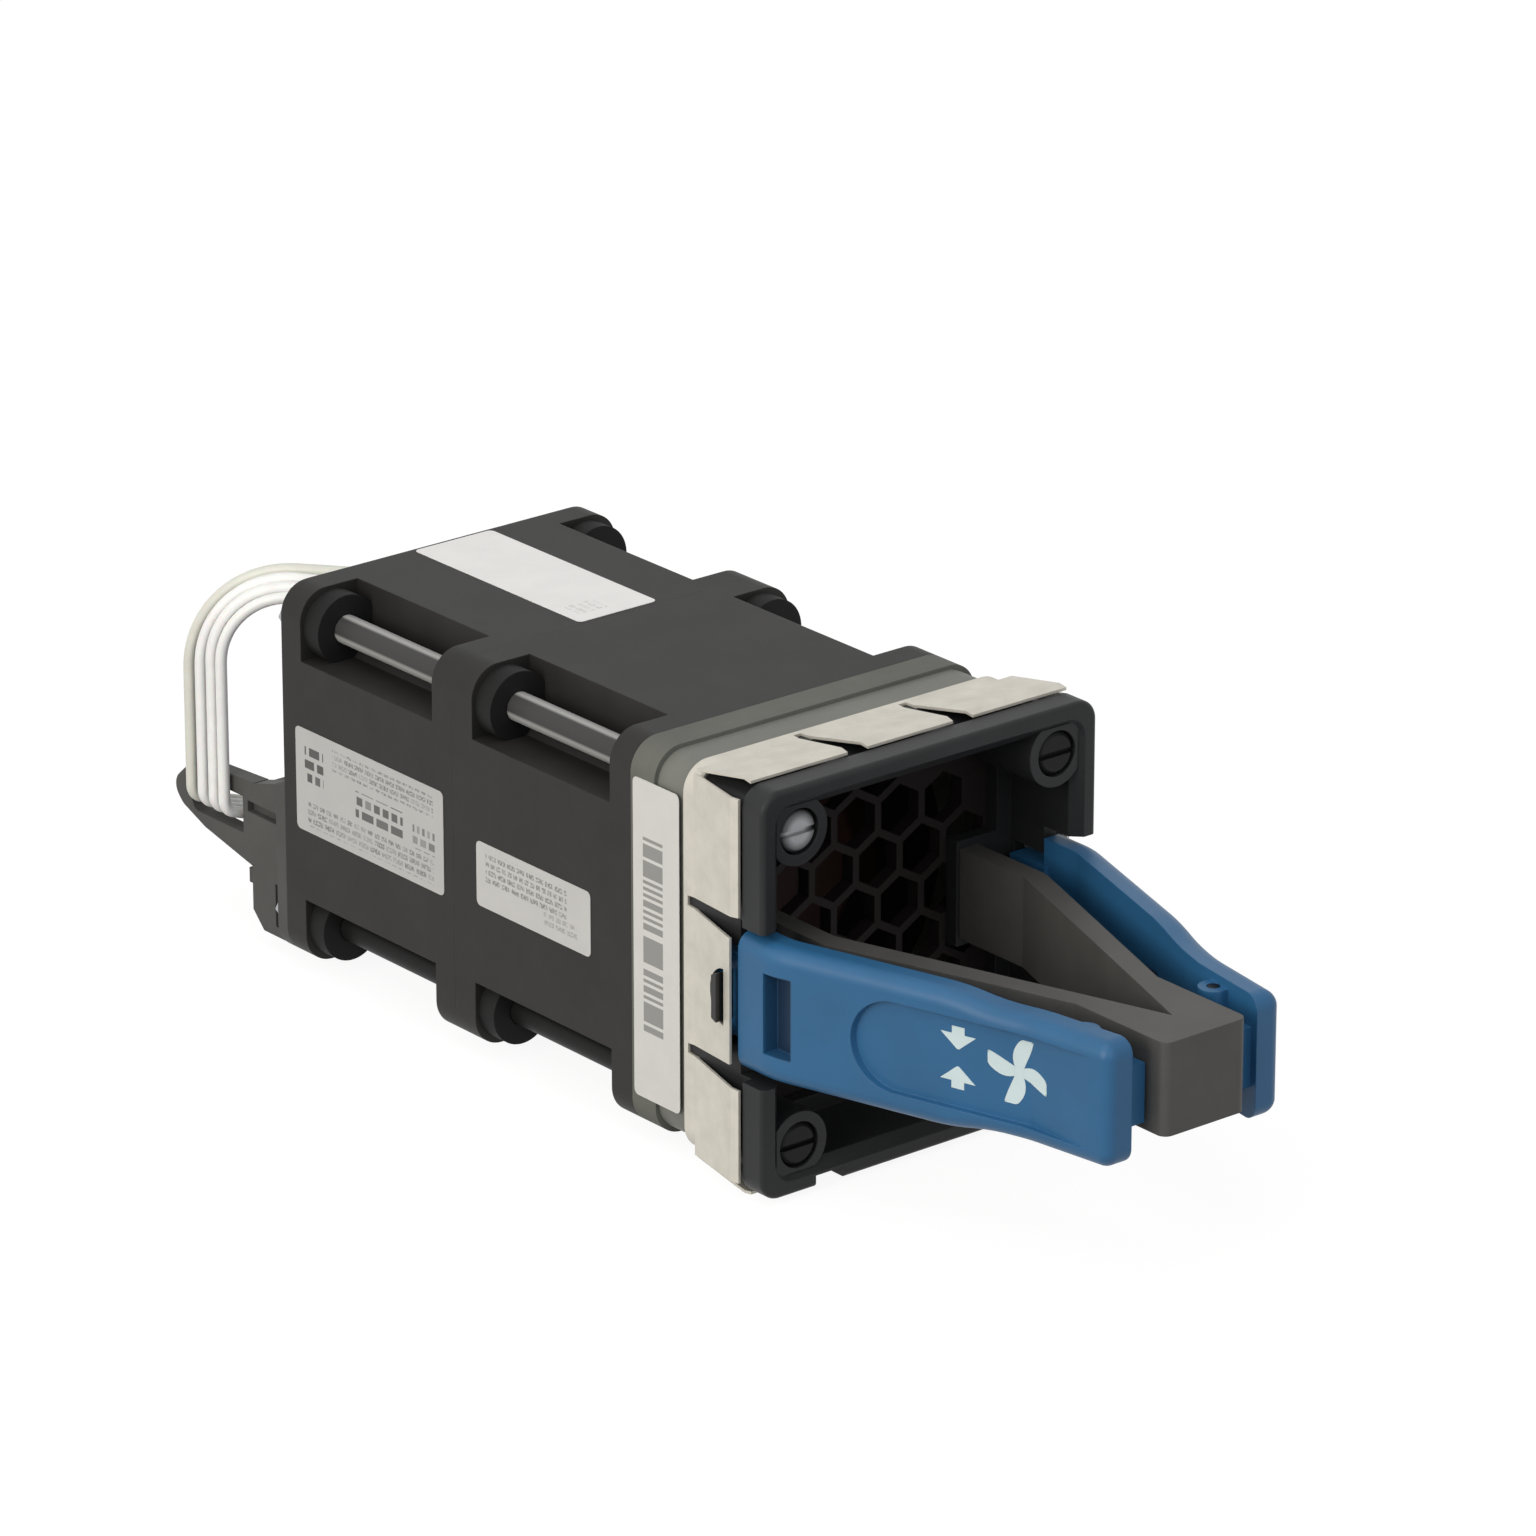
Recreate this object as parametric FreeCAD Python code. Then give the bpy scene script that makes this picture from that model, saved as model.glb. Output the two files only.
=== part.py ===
import FreeCAD, Part
import math
import os
from FreeCAD import Vector

# Hot-swap fan module: two counter-rotating fans in line behind a latching bezel.
# Millimetres. X points right seen from the handle, Y runs from the handle to the rear,
# Z points up. The fan axis is the Y axis and Y = 0 is the front face of the front fan.

BITE = 0.6                   # joined or cutting blocks run this far past a face

# --- fan unit -------------------------------------------------------------------------
FAN_WIDTH = 40.0             # outside width and height of each fan
FAN_DEPTH = 28.0             # depth of each fan
SCREW_INSET = 4.0            # screw axis to casing side, 32 mm pitch on a 40 mm fan
FLANGE_THICK = 3.2           # mounting flange at each end of a fan
FLANGE_CORNER = 3.2          # corner radius of the flanges
CORNER_NOTCH = 7.2           # cut-back of the casing corners between flanges
DUCT_EDGE = 1.2              # thinnest wall, between the air duct and a flat side
DUCT_WALL = 1.0              # wall left between duct and notch
HUB_R = 10.4                 # impeller hub, and the motor base that the struts carry
HUB_BASE_THICK = 3.2
STRUT_COUNT = 7
STRUT_THICK = 1.3
STRUT_SET_BACK = 0.4         # struts start behind the motor base face
LEAD_STRUT_ANGLE = 120.3     # degrees from +X towards +Z
LEAD_CHANNEL = 7.0           # width of the channel that carries the leads
CHANNEL_WALL = 0.8
CHANNEL_START = 5.0          # distance of the channel's inner end from the axis
HALF = FAN_WIDTH / 2
SCREW_AT = HALF - SCREW_INSET
CORNERS = [(sx, sz) for sx in (-1, 1) for sz in (-1, 1)]
NOTCH_AT = HALF - CORNER_NOTCH
DUCT_R = HALF - DUCT_EDGE
FANS_END = 2 * FAN_DEPTH
HUB_BASE_FRONT = FAN_DEPTH - HUB_BASE_THICK

# --- rotor and motor ------------------------------------------------------------------
HUB_SKIRT = 1.0              # plastic skirt of the impeller hub
HUB_FRONT = 2.0              # depth of the hub face inside a fan
HUB_FACE = 1.2
HUB_ROUND = 1.2
HUB_GAP = 1.8                # end of the hub to the motor base
SHAFT_BOSS_R = 2.2
BOSS_GAP = 0.6               # shaft boss to bearing tube
TIP_GAP = 0.6                # blade tip to duct
FRONT_BLADES = 5
REAR_BLADES = 7
BLADE_CHORDS = (17.0, 16.5, 16.0)    # at the hub, half-way and at the tip
BLADE_STAGGERS = (34.0, 47.0, 56.0)  # degrees from the axis
BLADE_CAMBERS = (2.6, 1.9, 1.3)
BLADE_THICKS = (1.7, 1.3, 1.0)
CUP_WALL = 0.5               # steel rotor cup
CUP_SET_BACK = 1.0           # rim of the cup inside the hub
MAGNET_WALL = 0.9
MAGNET_FRONT = 9.5
MAGNET_SET_BACK = 1.0
AIR_GAP = 0.4                # magnet to stator poles
SHAFT_R = 1.0
SHAFT_STICK_OUT = 0.8        # shaft end behind the face of the motor base
RUNNING = 0.03               # radial running clearance of shaft and pins
TUBE_R = 3.2                 # brass bearing tube
TUBE_WALL = 0.7
TUBE_FRONT = 7.2
TUBE_SOCKET = 1.2            # tube length held in the motor base
BEARING_THICK = 2.0
BEARING_INSET = 1.0          # front bearing behind the end of the tube
REAR_BEARING_AT = 4.6        # front of the rear bearing before the motor base
RING_AT = 2.0                # retaining ring before the motor base
RING_GROOVE = 0.8            # shaft radius inside the retaining ring
RING_R = 1.9
RING_THICK = 0.4
RING_SLIT = 0.6
CORE_LENGTH = 7.0
CORE_AT = 6.3                # end of the core before the motor base
CORE_RING = 1.4
SHOE_THICK = 1.0
POLE_WIDTH = 2.0
POLE_COUNT = 4
POLE_GAP = 1.8               # slot between two pole shoes
COIL_WALL = 1.2
COIL_FIT = 0.15
BOARD_INSET = 1.8            # board edge inside the motor base
BOARD_THICK = 0.8
HUB_END = HUB_BASE_FRONT - HUB_GAP
CUP_R = HUB_R - HUB_SKIRT
CUP_END = HUB_END - CUP_SET_BACK
MAGNET_R = CUP_R - CUP_WALL
MAGNET_IN = MAGNET_R - MAGNET_WALL
MAGNET_END = CUP_END - MAGNET_SET_BACK
POLE_R = MAGNET_IN - AIR_GAP
POLE_SHOE_IN = POLE_R - SHOE_THICK
SHAFT_END = HUB_BASE_FRONT + SHAFT_STICK_OUT
TUBE_IN = TUBE_R - TUBE_WALL
BEARING_FRONTS = (TUBE_FRONT + BEARING_INSET, HUB_BASE_FRONT - REAR_BEARING_AT)
RING_FRONT = HUB_BASE_FRONT - RING_AT
CORE_END = HUB_BASE_FRONT - CORE_AT
CORE_FRONT = CORE_END - CORE_LENGTH
CORE_RING_R = TUBE_R + CORE_RING
BOARD_R = HUB_R - BOARD_INSET

# --- screws, nuts and rubber bushes ---------------------------------------------------
SCREW_R = 1.5
SCREW_CLEAR = 0.05           # radial clearance of the through holes
SCREW_HEAD_EDGE = 0.7        # head beyond the shank
SCREW_HEAD = 1.2
HEAD_CHAMFER = 0.4
SCREW_SLOT = 0.6
HEAD_ROOM = 0.15             # screw head to its recess
NUT_FLATS = 5.5
NUT_THICK = 1.6
SCREW_STICK_OUT = 0.4        # thread beyond the nut
NUT_ROOM = 0.3               # nut to the pocket in the rear bracket
BUSH_R = 3.6
BUSH_THICK = 2.4
SCREW_HEAD_R = SCREW_R + SCREW_HEAD_EDGE
NUT_R = NUT_FLATS / math.sqrt(3)

# --- collar, adapter and grille -------------------------------------------------------
COLLAR_THICK = 3.6           # rubber collar against the front fan
ADAPTER_THICK = 4.4          # plastic adapter frame in front of it
ADAPTER_STEP = 0.4           # how far the adapter is set in on each side
GRILLE_THICK = 1.6
GRILLE_CORNER = 1.2
GRILLE_GAP = 0.1             # grille to bezel pocket on each side
CELL_PITCH = 5.5
CELL_WEB = 0.8               # web between two honeycomb cells
CELL_ROWS = 3                # rows on each side of the middle
STACK_FRONT = -COLLAR_THICK - ADAPTER_THICK
GRILLE_FRONT = STACK_FRONT - GRILLE_THICK
CELL_FLATS = CELL_PITCH - CELL_WEB

# --- bezel ----------------------------------------------------------------------------
BEZEL_STEP = 0.3             # how far the bezel is set in on each side, for the gasket
BEZEL_CORNER = 2.6
BEZEL_WALL = 1.5
BEZEL_IN_CORNER = 1.1
POCKET_WALL = 1.1            # wall round the grille
BEZEL_DEPTH = 12.8
RIM_STEP = 1.1               # how far the rim stands out over the gasket
RIM_CORNER = 2.2
RIM_DEPTH = 3.0
RIM_ROUND = 0.5
MOUTH_CHAMFER = 1.1          # slope from the rim down to the mouth
LEDGE_THICK = 1.6
LEDGE_WIDTH = 1.7
LEDGE_CORNER = 1.0
BOSS_WALL = 1.2              # corner boss round the head of a long screw
BOSS_SET_BACK = 0.4
LIP_NOTCH_X = 12.4           # pair of small notches in the lower lip
LIP_NOTCH_WIDTH = 3.6
LIP_NOTCH_DEPTH = 1.2
BEZEL_WIDTH = FAN_WIDTH - 2 * BEZEL_STEP
BEZEL_INSIDE = BEZEL_WIDTH - 2 * BEZEL_WALL
BEZEL_FRONT = STACK_FRONT - BEZEL_DEPTH
RIM_WIDTH = BEZEL_WIDTH + 2 * RIM_STEP
RIM_BACK = BEZEL_FRONT + RIM_DEPTH
GRILLE_WIDTH = BEZEL_WIDTH - 2 * (POCKET_WALL + GRILLE_GAP)
LEDGE_FRONT = GRILLE_FRONT - LEDGE_THICK
LEDGE_INSIDE = BEZEL_INSIDE - 2 * LEDGE_WIDTH
BOSS_R = SCREW_HEAD_R + BOSS_WALL

# --- spring-finger gasket -------------------------------------------------------------
SHEET = 0.3
BAND_REACH = 0.4             # band in front of the finger roots
FINGER_GAP = 0.2             # finger tips to the rim
FINGER_HOOK = 1.0            # length of the turned-in tip
FINGER_SHORT = 1.2           # middle fingers at the sides end before the levers
FINGER_RISE = 1.3
FINGER_DROP = 0.15
FINGER_TRIM = 0.2
SLOT_START = 0.6             # slots leave this much of the band uncut
SLOT_ROOT = 1.0
SLOT_FRONT = 2.6
SIDE_SLOTS = 7.6             # slots of the left and right sides from the lever's middle
FINGER_TIP = RIM_BACK + FINGER_GAP
FINGER_BEND = FINGER_TIP + FINGER_HOOK
SHORT_FINGER_TIP = FINGER_TIP + FINGER_SHORT
FINGER_SPAN = BEZEL_WIDTH - FINGER_TRIM
FACE_SLOTS = FINGER_SPAN / 6

# --- handle yoke ----------------------------------------------------------------------
YOKE_Z = -0.3
YOKE_HEIGHT = 9.4
HANDLE_REACH = 39.2          # nose in front of the bezel
ARM_INSET = 4.2              # outer face of an arm inside the bezel wall
ARM_THICK = 2.2
ARM_STRAIGHT = 0.5           # arms run straight this far out of the bezel
ARM_ROUND = 3.0
NOSE_HALF = 5.1
NOSE_LENGTH = 12.6
NOSE_ROUND = 1.0
NOSE_WALL = 4.8              # nose tip to the inner corner of the V
PAD_HALF = 5.5               # half height of the pads that the arms stand on
PAD_MARGIN = 0.4
LUG_R = 1.3
LUG_HALF = 3.0
PEG_R = 0.7
PEG_INSET = 1.6              # peg behind the bezel's front
PEG_HEAD = 0.3               # peg beyond the spring foot
HANDLE_SCREW_R = 0.7
HANDLE_SCREW_HEAD_R = 1.3
HANDLE_SCREW_HEAD = 0.8
HANDLE_SCREW_LENGTH = 5.0
ARM_OUT = BEZEL_INSIDE / 2 - ARM_INSET
ARM_IN = ARM_OUT - ARM_THICK
ARM_BEND = BEZEL_FRONT - ARM_STRAIGHT
NOSE_FRONT = BEZEL_FRONT - HANDLE_REACH
NOSE_BACK = NOSE_FRONT + NOSE_LENGTH
CROTCH = NOSE_FRONT + NOSE_WALL
PEG_Y = BEZEL_FRONT + PEG_INSET

# --- squeeze levers -------------------------------------------------------------------
LEVER_Z = -1.2
LEVER_BASE_HALF = 7.0        # half height at the base
LEVER_TAPER = 0.7            # the tip is this much lower on each side
LEVER_THICK = 3.0
WAIST_START = 17.2           # the height changes this far in front of the bezel
WAIST_LENGTH = 8.0
LEVER_STEP = 1.0             # outer face of the lever beyond its tail
BASE_LENGTH = 0.7            # base runs straight this far out of the bezel
BASE_BEND_R = 9.0
BASE_BEND_IN_R = 6.0
FLARE_BEND_R = 16.0
FLARE_AT = 11.5              # the lever turns towards its tip this far behind the nose
FLARE_STEP = 4.2             # outer face beyond the hinge pin there
LEVER_SHORT = 1.6            # lever tip behind the nose
TIP_STEP = 2.7               # outer face beyond the hinge pin at the tip
TIP_EDGE_ROUND = 1.3
EDGE_ROUND = 1.6             # upper and lower edges of the outer face
TAIL_GAP = 0.1               # tail to the inside of the gasket
TAIL_THICK = 2.4
TAIL_START = 0.7             # step between tail and lever behind the finger tips
TAIL_CLEAR = 1.1             # end of the tail to the ledge
TAIL_ROOM = 0.7              # end of the tail to the end of its cut-out in the bezel
TAIL_HALF = 4.2              # half height of the tail
STOP_GAP = 0.15              # heel at the lever's tip to the side of the nose
STOP_HALF = 3.0
STOP_LENGTH = 1.8
STOP_SHORT = 1.0             # heel behind the lever tip
TOOTH_R = 2.6
TOOTH_AT = 2.0               # centre of the tooth behind the finger tips
TOOTH_NOSE = 0.7             # flat latching face behind the centre
TOOTH_STEP = 1.1             # tooth beyond the lever's outer face
TOOTH_ROOT = 1.6             # tooth sunk into the tail
TOOTH_GAP = 0.35
RAMP_LENGTH = 1.2            # lead-in slope at the back of the tooth
RAMP_DEPTH = 1.3
RECESS_START = 0.2           # recess next to the base, from the bezel front inwards
RECESS_LENGTH = 3.2
RECESS_HALF = 4.1
RECESS_DEPTH = 1.8
REST_START = 9.4             # thumb rest starts this far in front of the bezel
REST_FADE = 0.25             # its floor runs out this far above the lever tip
REST_HALF = 4.6
REST_DEPTH = 0.8
LEVER_SIDE_GAP = 0.9
PIN_STEP = 2.9               # hinge pin beside the nose
PIN_AT = 8.0                 # hinge pin behind the nose tip
PIN_R = 0.6
PIN_HALF = 5.4
PIN_CLEAR = 0.05
KNUCKLE_R = 1.5
KNUCKLE_GAP = 0.25
LEAF_THICK = 0.3
LEAF_HALF = 2.0
LEAF_FOOT = 3.0              # foot behind the peg
LEAF_REACH = 19.2            # tip in front of the bezel
LEAF_GAP = 0.05              # spring tip to lever at rest
LEVER_TIP_HALF = LEVER_BASE_HALF - LEVER_TAPER
PIN_X = NOSE_HALF + PIN_STEP
PIN_Y = NOSE_FRONT + PIN_AT
TAIL_OUT = BEZEL_WIDTH / 2 - TAIL_GAP
TAIL_BACK = LEDGE_FRONT - TAIL_CLEAR
LEVER_OUT = TAIL_OUT + LEVER_STEP
LEVER_BACK = FINGER_TIP + TAIL_START
LEVER_BEND = BEZEL_FRONT - BASE_LENGTH
LEVER_FLARE = NOSE_FRONT + FLARE_AT
LEVER_FLARE_OUT = PIN_X + FLARE_STEP
LEVER_FRONT = NOSE_FRONT + LEVER_SHORT
LEVER_TIP_OUT = PIN_X + TIP_STEP
WAIST_BACK = BEZEL_FRONT - WAIST_START
WAIST_FRONT = WAIST_BACK - WAIST_LENGTH
STOP_FRONT = LEVER_FRONT + STOP_SHORT
TOOTH_CENTRE = FINGER_TIP + TOOTH_AT
TOOTH_FLAT = TOOTH_CENTRE + TOOTH_NOSE
TOOTH_OUT = LEVER_OUT + TOOTH_STEP
RECESS_NEAR = BEZEL_FRONT + RECESS_START
RECESS_FAR = RECESS_NEAR - RECESS_LENGTH
REST_BACK = BEZEL_FRONT - REST_START
LEAF_BACK = PEG_Y + LEAF_FOOT
LEAF_TIP = BEZEL_FRONT - LEAF_REACH

# --- rear bracket and connector -------------------------------------------------------
PLATE_THICK = 1.6
PLATE_RISE = 4.0             # clamped plate above the shelf
CHEEK_INSET = 1.4            # outer face of the cheek inside the casing side
CHEEK_THICK = 1.8
CHEEK_TOP_STEP = 18.3        # top of the cheek above the casing's underside
CHEEK_NECK = 16.1            # its height where the loop starts
CHEEK_FOOT = 0.6
CHEEK_LENGTH = 7.8
LOOP_LENGTH = 13.8           # lead loop behind the cheek
LOOP_MIDDLE = 12.3           # middle of the loop above the casing's underside
LOOP_HALF = 3.4
LOOP_NOSE = 1.9              # slanted corners of the loop
LOOP_ROUND = 1.6             # radius of its corners outside
EYE_ROUND = 0.9              # and inside
LOOP_WALL = 1.4
LOOP_WALL_REAR = 3.0
GROOVE_HALF = 0.6
GROOVE_DEPTH = 0.8
SHELF_RISE = 6.0             # top of the shelf above the casing's underside
SHELF_THICK = 1.6
SHELF_LENGTH = 10.0
SHELF_RIGHT = 8.0
SHELF_STOP = 3.4             # stop beside the connector
STAY_LENGTH = 5.0
CONNECTOR_LEFT = -8.0
CONNECTOR_SET_BACK = 4.0
CONNECTOR_LENGTH = 14.6
CONNECTOR_HEIGHT = 4.6
STOP_WIDTH = 1.8
SOCKET_SIZE = 1.8
SOCKET_DEPTH = 6.0
CONTACT_SIZE = 0.8
CONTACT_LENGTH = 5.0
CONTACT_PITCH = 3.0
CHEEK_OUT = CHEEK_INSET - HALF
CHEEK_IN = CHEEK_OUT + CHEEK_THICK
SHELF_TOP = SHELF_RISE - HALF
CONNECTOR_RIGHT = SHELF_RIGHT - STOP_WIDTH
CONNECTOR_FRONT = FANS_END + CONNECTOR_SET_BACK
CONNECTOR_REAR = CONNECTOR_FRONT + CONNECTOR_LENGTH
CONTACT_Z = SHELF_TOP + CONNECTOR_HEIGHT / 2

# --- leads ----------------------------------------------------------------------------
LEAD_R = 0.6
LEAD_PITCH = 1.7             # spacing in the strut channel
LEAD_START = 6.2             # inner end from the fan axis
LEAD_EDGE = 1.1              # turn to the rear, inside the casing corner
LEAD_CLEAR = 2.6             # run out behind the rear fan
LEAD_DROPS = (11.3, 13.0, 14.9, 16.9)   # where each lead comes down, behind the rear fan
LEAD_BENDS = (7.5, 8.5, 10.0, 11.5)     # radius of each lead's arch
LEAD_TURN_R = 1.8
LEAD_SWING_R = 3.0
LEAD_ENTRY_R = 1.6
LEAD_TOP_STEP = 2.4          # top of the arch below the casing top
LEAD_CLEAR_SIDE = 0.8        # centre of the leads beside the cheek
LEAD_DROP_X = CHEEK_OUT - LEAD_CLEAR_SIDE


def box(x0, x1, y0, y1, z0, z1):
    """Block between two corners."""
    return Part.makeBox(x1 - x0, y1 - y0, z1 - z0, Vector(x0, y0, z0))


def rod_y(x, z, radius, y0, y1):
    """Round bar along Y."""
    return Part.makeCylinder(radius, y1 - y0, Vector(x, y0, z), Vector(0, 1, 0))


def rod_z(x, y, radius, z0, z1):
    """Round bar along Z."""
    return Part.makeCylinder(radius, z1 - z0, Vector(x, y, z0), Vector(0, 0, 1))


def rod_x(y, z, radius, x0, x1):
    """Round bar along X."""
    return Part.makeCylinder(radius, x1 - x0, Vector(x0, y, z), Vector(1, 0, 0))


def ring_y(r_out, r_in, y0, y1):
    """Tube round the fan axis."""
    return rod_y(0, 0, r_out, y0, y1).cut(rod_y(0, 0, r_in, y0, y1))


def rounded_block(width, corner, y0, y1):
    """Square bar along the fan axis with rounded long edges."""
    block = box(-width / 2, width / 2, y0, y1, -width / 2, width / 2)
    long_edges = [e for e in block.Edges if abs(e.tangentAt(e.FirstParameter).y) > 0.9]
    return block.makeFillet(corner, long_edges)


def plate_z(points, z0, z1):
    """Flat outline in X and Y raised from z0 to z1."""
    wire = Part.makePolygon([Vector(x, y, z0) for x, y in points + points[:1]])
    return Part.Face(wire).extrude(Vector(0, 0, z1 - z0))


def plate_x(points, x0, x1):
    """Flat outline in Y and Z stretched from x0 to x1."""
    wire = Part.makePolygon([Vector(x0, y, z) for y, z in points + points[:1]])
    return Part.Face(wire).extrude(Vector(x1 - x0, 0, 0))


def join(shapes):
    """One solid from touching or crossing solids."""
    return shapes[0].multiFuse(shapes[1:]).removeSplitter()


def turned(shape, degrees):
    """Copy turned about the fan axis, from +X towards +Z."""
    copy = shape.copy()
    copy.rotate(Vector(0, 0, 0), Vector(0, 1, 0), -degrees)
    return copy


def mirrored(shape):
    """Copy on the other side of the middle plane."""
    return shape.mirror(Vector(0, 0, 0), Vector(1, 0, 0))


def round_edges(shape, radius, wanted):
    """Fillet the edges for which wanted(edge) is true."""
    return shape.makeFillet(radius, [e for e in shape.Edges if wanted(e)])


def upright_at(edge, x, y):
    """True for a vertical edge at this X and Y."""
    a, b = edge.Vertexes[0].Point, edge.Vertexes[-1].Point
    same = math.hypot(a.x - b.x, a.y - b.y) < 1e-6
    return same and math.hypot(a.x - x, a.y - y) < 1e-3


def crosswise_behind(edge, y):
    """True for an edge along X that lies behind this Y."""
    b = edge.BoundBox
    return b.YLength < 1e-6 and b.ZLength < 1e-6 and b.YMin > y + 1e-3


def filleted_path(corners, radii):
    """Straight runs joined by tangent arcs."""
    edges = []
    start = corners[0]
    for here, before, after, radius in zip(corners[1:-1], corners, corners[2:], radii):
        back = (before - here).normalize()
        ahead = (after - here).normalize()
        turn = math.pi - back.getAngle(ahead)
        reach = radius * math.tan(turn / 2)
        first, last = here + back * reach, here + ahead * reach
        inward = (back + ahead).normalize()
        centre = here + inward * (radius / math.cos(turn / 2))
        middle = centre - inward * radius
        edges.append(Part.LineSegment(start, first).toShape())
        edges.append(Part.Arc(first, middle, last).toShape())
        start = last
    edges.append(Part.LineSegment(start, corners[-1]).toShape())
    return Part.Wire(edges)


def screw_holes(y0, y1):
    """Four clearance holes for the long screws."""
    hole_r = SCREW_R + SCREW_CLEAR
    return [rod_y(sx * SCREW_AT, sz * SCREW_AT, hole_r, y0, y1) for sx, sz in CORNERS]


# --- fan casing -----------------------------------------------------------------------
def strut_direction():
    """Unit vector along the lead strut."""
    a = math.radians(LEAD_STRUT_ANGLE)
    return Vector(math.cos(a), 0, math.sin(a))


def casing_core(y0, y1):
    """Casing without its corners: four flat sides and the round duct wall."""
    return join([box(-HALF, HALF, y0, y1, -NOTCH_AT, NOTCH_AT),
                 box(-NOTCH_AT, NOTCH_AT, y0, y1, -HALF, HALF),
                 rod_y(0, 0, DUCT_R + DUCT_WALL, y0, y1)])


def casing(front, has_lead_channel):
    """Fan casing: two flanges, a duct with notched corners, motor base and struts."""
    rear = front + FAN_DEPTH
    flanges = [rounded_block(FAN_WIDTH, FLANGE_CORNER, front, front + FLANGE_THICK),
               rounded_block(FAN_WIDTH, FLANGE_CORNER, rear - FLANGE_THICK, rear)]
    waist = box(-HALF, HALF, front + FLANGE_THICK, rear - FLANGE_THICK, -HALF, HALF)
    waist = waist.common(casing_core(front, rear))
    shell = join(flanges + [waist])
    shell = shell.cut(rod_y(0, 0, DUCT_R, front, rear))
    base_front = front + HUB_BASE_FRONT
    spokes = [rod_y(0, 0, HUB_R, base_front, rear)]
    spoke = box(HUB_R - BITE, DUCT_R + BITE, base_front + STRUT_SET_BACK, rear,
                -STRUT_THICK / 2, STRUT_THICK / 2)
    for i in range(STRUT_COUNT):
        spokes.append(turned(spoke, LEAD_STRUT_ANGLE + 360 * i / STRUT_COUNT))
    if has_lead_channel:
        half = LEAD_CHANNEL / 2
        wide = box(HUB_R - BITE, DUCT_R + BITE, base_front - BOARD_THICK, rear,
                   -half - CHANNEL_WALL, half + CHANNEL_WALL)
        spokes.append(turned(wide, LEAD_STRUT_ANGLE))
    shell = join([shell] + spokes)
    if has_lead_channel:
        channel = box(CHANNEL_START, HALF + BITE, base_front, rear, -half, half)
        shell = shell.cut(turned(channel, LEAD_STRUT_ANGLE))
    socket = rod_y(0, 0, TUBE_R, base_front, base_front + TUBE_SOCKET)
    return shell.cut(Part.makeCompound(screw_holes(front, rear) + [socket])).removeSplitter()


# --- rotor ----------------------------------------------------------------------------
def blade_section(radius, chord, stagger, camber, thickness, mid_y):
    """Closed lens-shaped blade section at one radius, facing outwards along X."""
    a = math.radians(stagger)

    def place(along, across):
        y = mid_y + along * math.cos(a) - across * math.sin(a)
        z = along * math.sin(a) + across * math.cos(a)
        return Vector(radius, y, z)

    nose, tail = place(-chord / 2, 0), place(chord / 2, 0)
    upper = Part.Arc(nose, place(0, camber + thickness / 2), tail).toShape()
    lower = Part.Arc(tail, place(0, camber - thickness / 2), nose).toShape()
    return Part.Wire([upper, lower])


def blade(front, hand):
    """Twisted and cambered fan blade, trimmed to the hub and to the tip circle."""
    mid_y = front + (HUB_FRONT + HUB_END) / 2
    inner, outer = CUP_R - BITE, DUCT_R + BITE
    radii = (inner, (inner + outer) / 2, outer)
    sections = []
    for radius, chord, stagger, camber, thick in zip(radii, BLADE_CHORDS, BLADE_STAGGERS,
                                                     BLADE_CAMBERS, BLADE_THICKS):
        sections.append(blade_section(radius, chord, hand * stagger, hand * camber, thick, mid_y))
    raw = Part.makeLoft(sections, True, False)
    swept = ring_y(DUCT_R - TIP_GAP, HUB_R - HUB_SKIRT / 2, front + HUB_FRONT, front + HUB_END)
    return raw.common(swept)


def impeller(front, blades, hand):
    """Hub shell with a domed face, shaft boss and blades."""
    face, end = front + HUB_FRONT, front + HUB_END
    shell = round_edges(rod_y(0, 0, HUB_R, face, end), HUB_ROUND,
                        lambda e: abs(e.BoundBox.YMax - face) < 1e-6)
    shell = shell.cut(rod_y(0, 0, CUP_R, face + HUB_FACE, end))
    boss = rod_y(0, 0, SHAFT_BOSS_R, face + HUB_FACE, front + TUBE_FRONT - BOSS_GAP)
    one = blade(front, hand)
    whole = join([shell, boss] + [turned(one, 360 * i / blades) for i in range(blades)])
    return whole.cut(rod_y(0, 0, SHAFT_R, face + HUB_FACE / 2, end))


def rotor_cup(front):
    """Deep-drawn steel cup inside the hub."""
    face = front + HUB_FRONT + HUB_FACE
    cup = rod_y(0, 0, CUP_R, face, front + CUP_END)
    cup = cup.cut(rod_y(0, 0, MAGNET_R, face + CUP_WALL, front + CUP_END))
    return cup.cut(rod_y(0, 0, SHAFT_BOSS_R, face, face + CUP_WALL))


def magnet(front):
    """Rubber-bonded magnet ring."""
    return ring_y(MAGNET_R, MAGNET_IN, front + MAGNET_FRONT, front + MAGNET_END)


def shaft(front):
    """Steel shaft with a groove for its retaining ring."""
    bar = rod_y(0, 0, SHAFT_R, front + HUB_FRONT + HUB_FACE / 2, front + SHAFT_END)
    groove = front + RING_FRONT
    return bar.cut(ring_y(SHAFT_R + BITE, RING_GROOVE, groove, groove + RING_THICK))


def retaining_ring(front):
    """Slit washer that keeps the shaft in its bearings."""
    groove = front + RING_FRONT
    washer = ring_y(RING_R, RING_GROOVE, groove, groove + RING_THICK)
    return washer.cut(box(0, RING_R + BITE, groove, groove + RING_THICK, -RING_SLIT / 2, RING_SLIT / 2))


# --- motor ----------------------------------------------------------------------------
def bearing_tube(front):
    """Brass tube pressed into the motor base."""
    return ring_y(TUBE_R, TUBE_IN, front + TUBE_FRONT, front + HUB_BASE_FRONT + TUBE_SOCKET)


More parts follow.
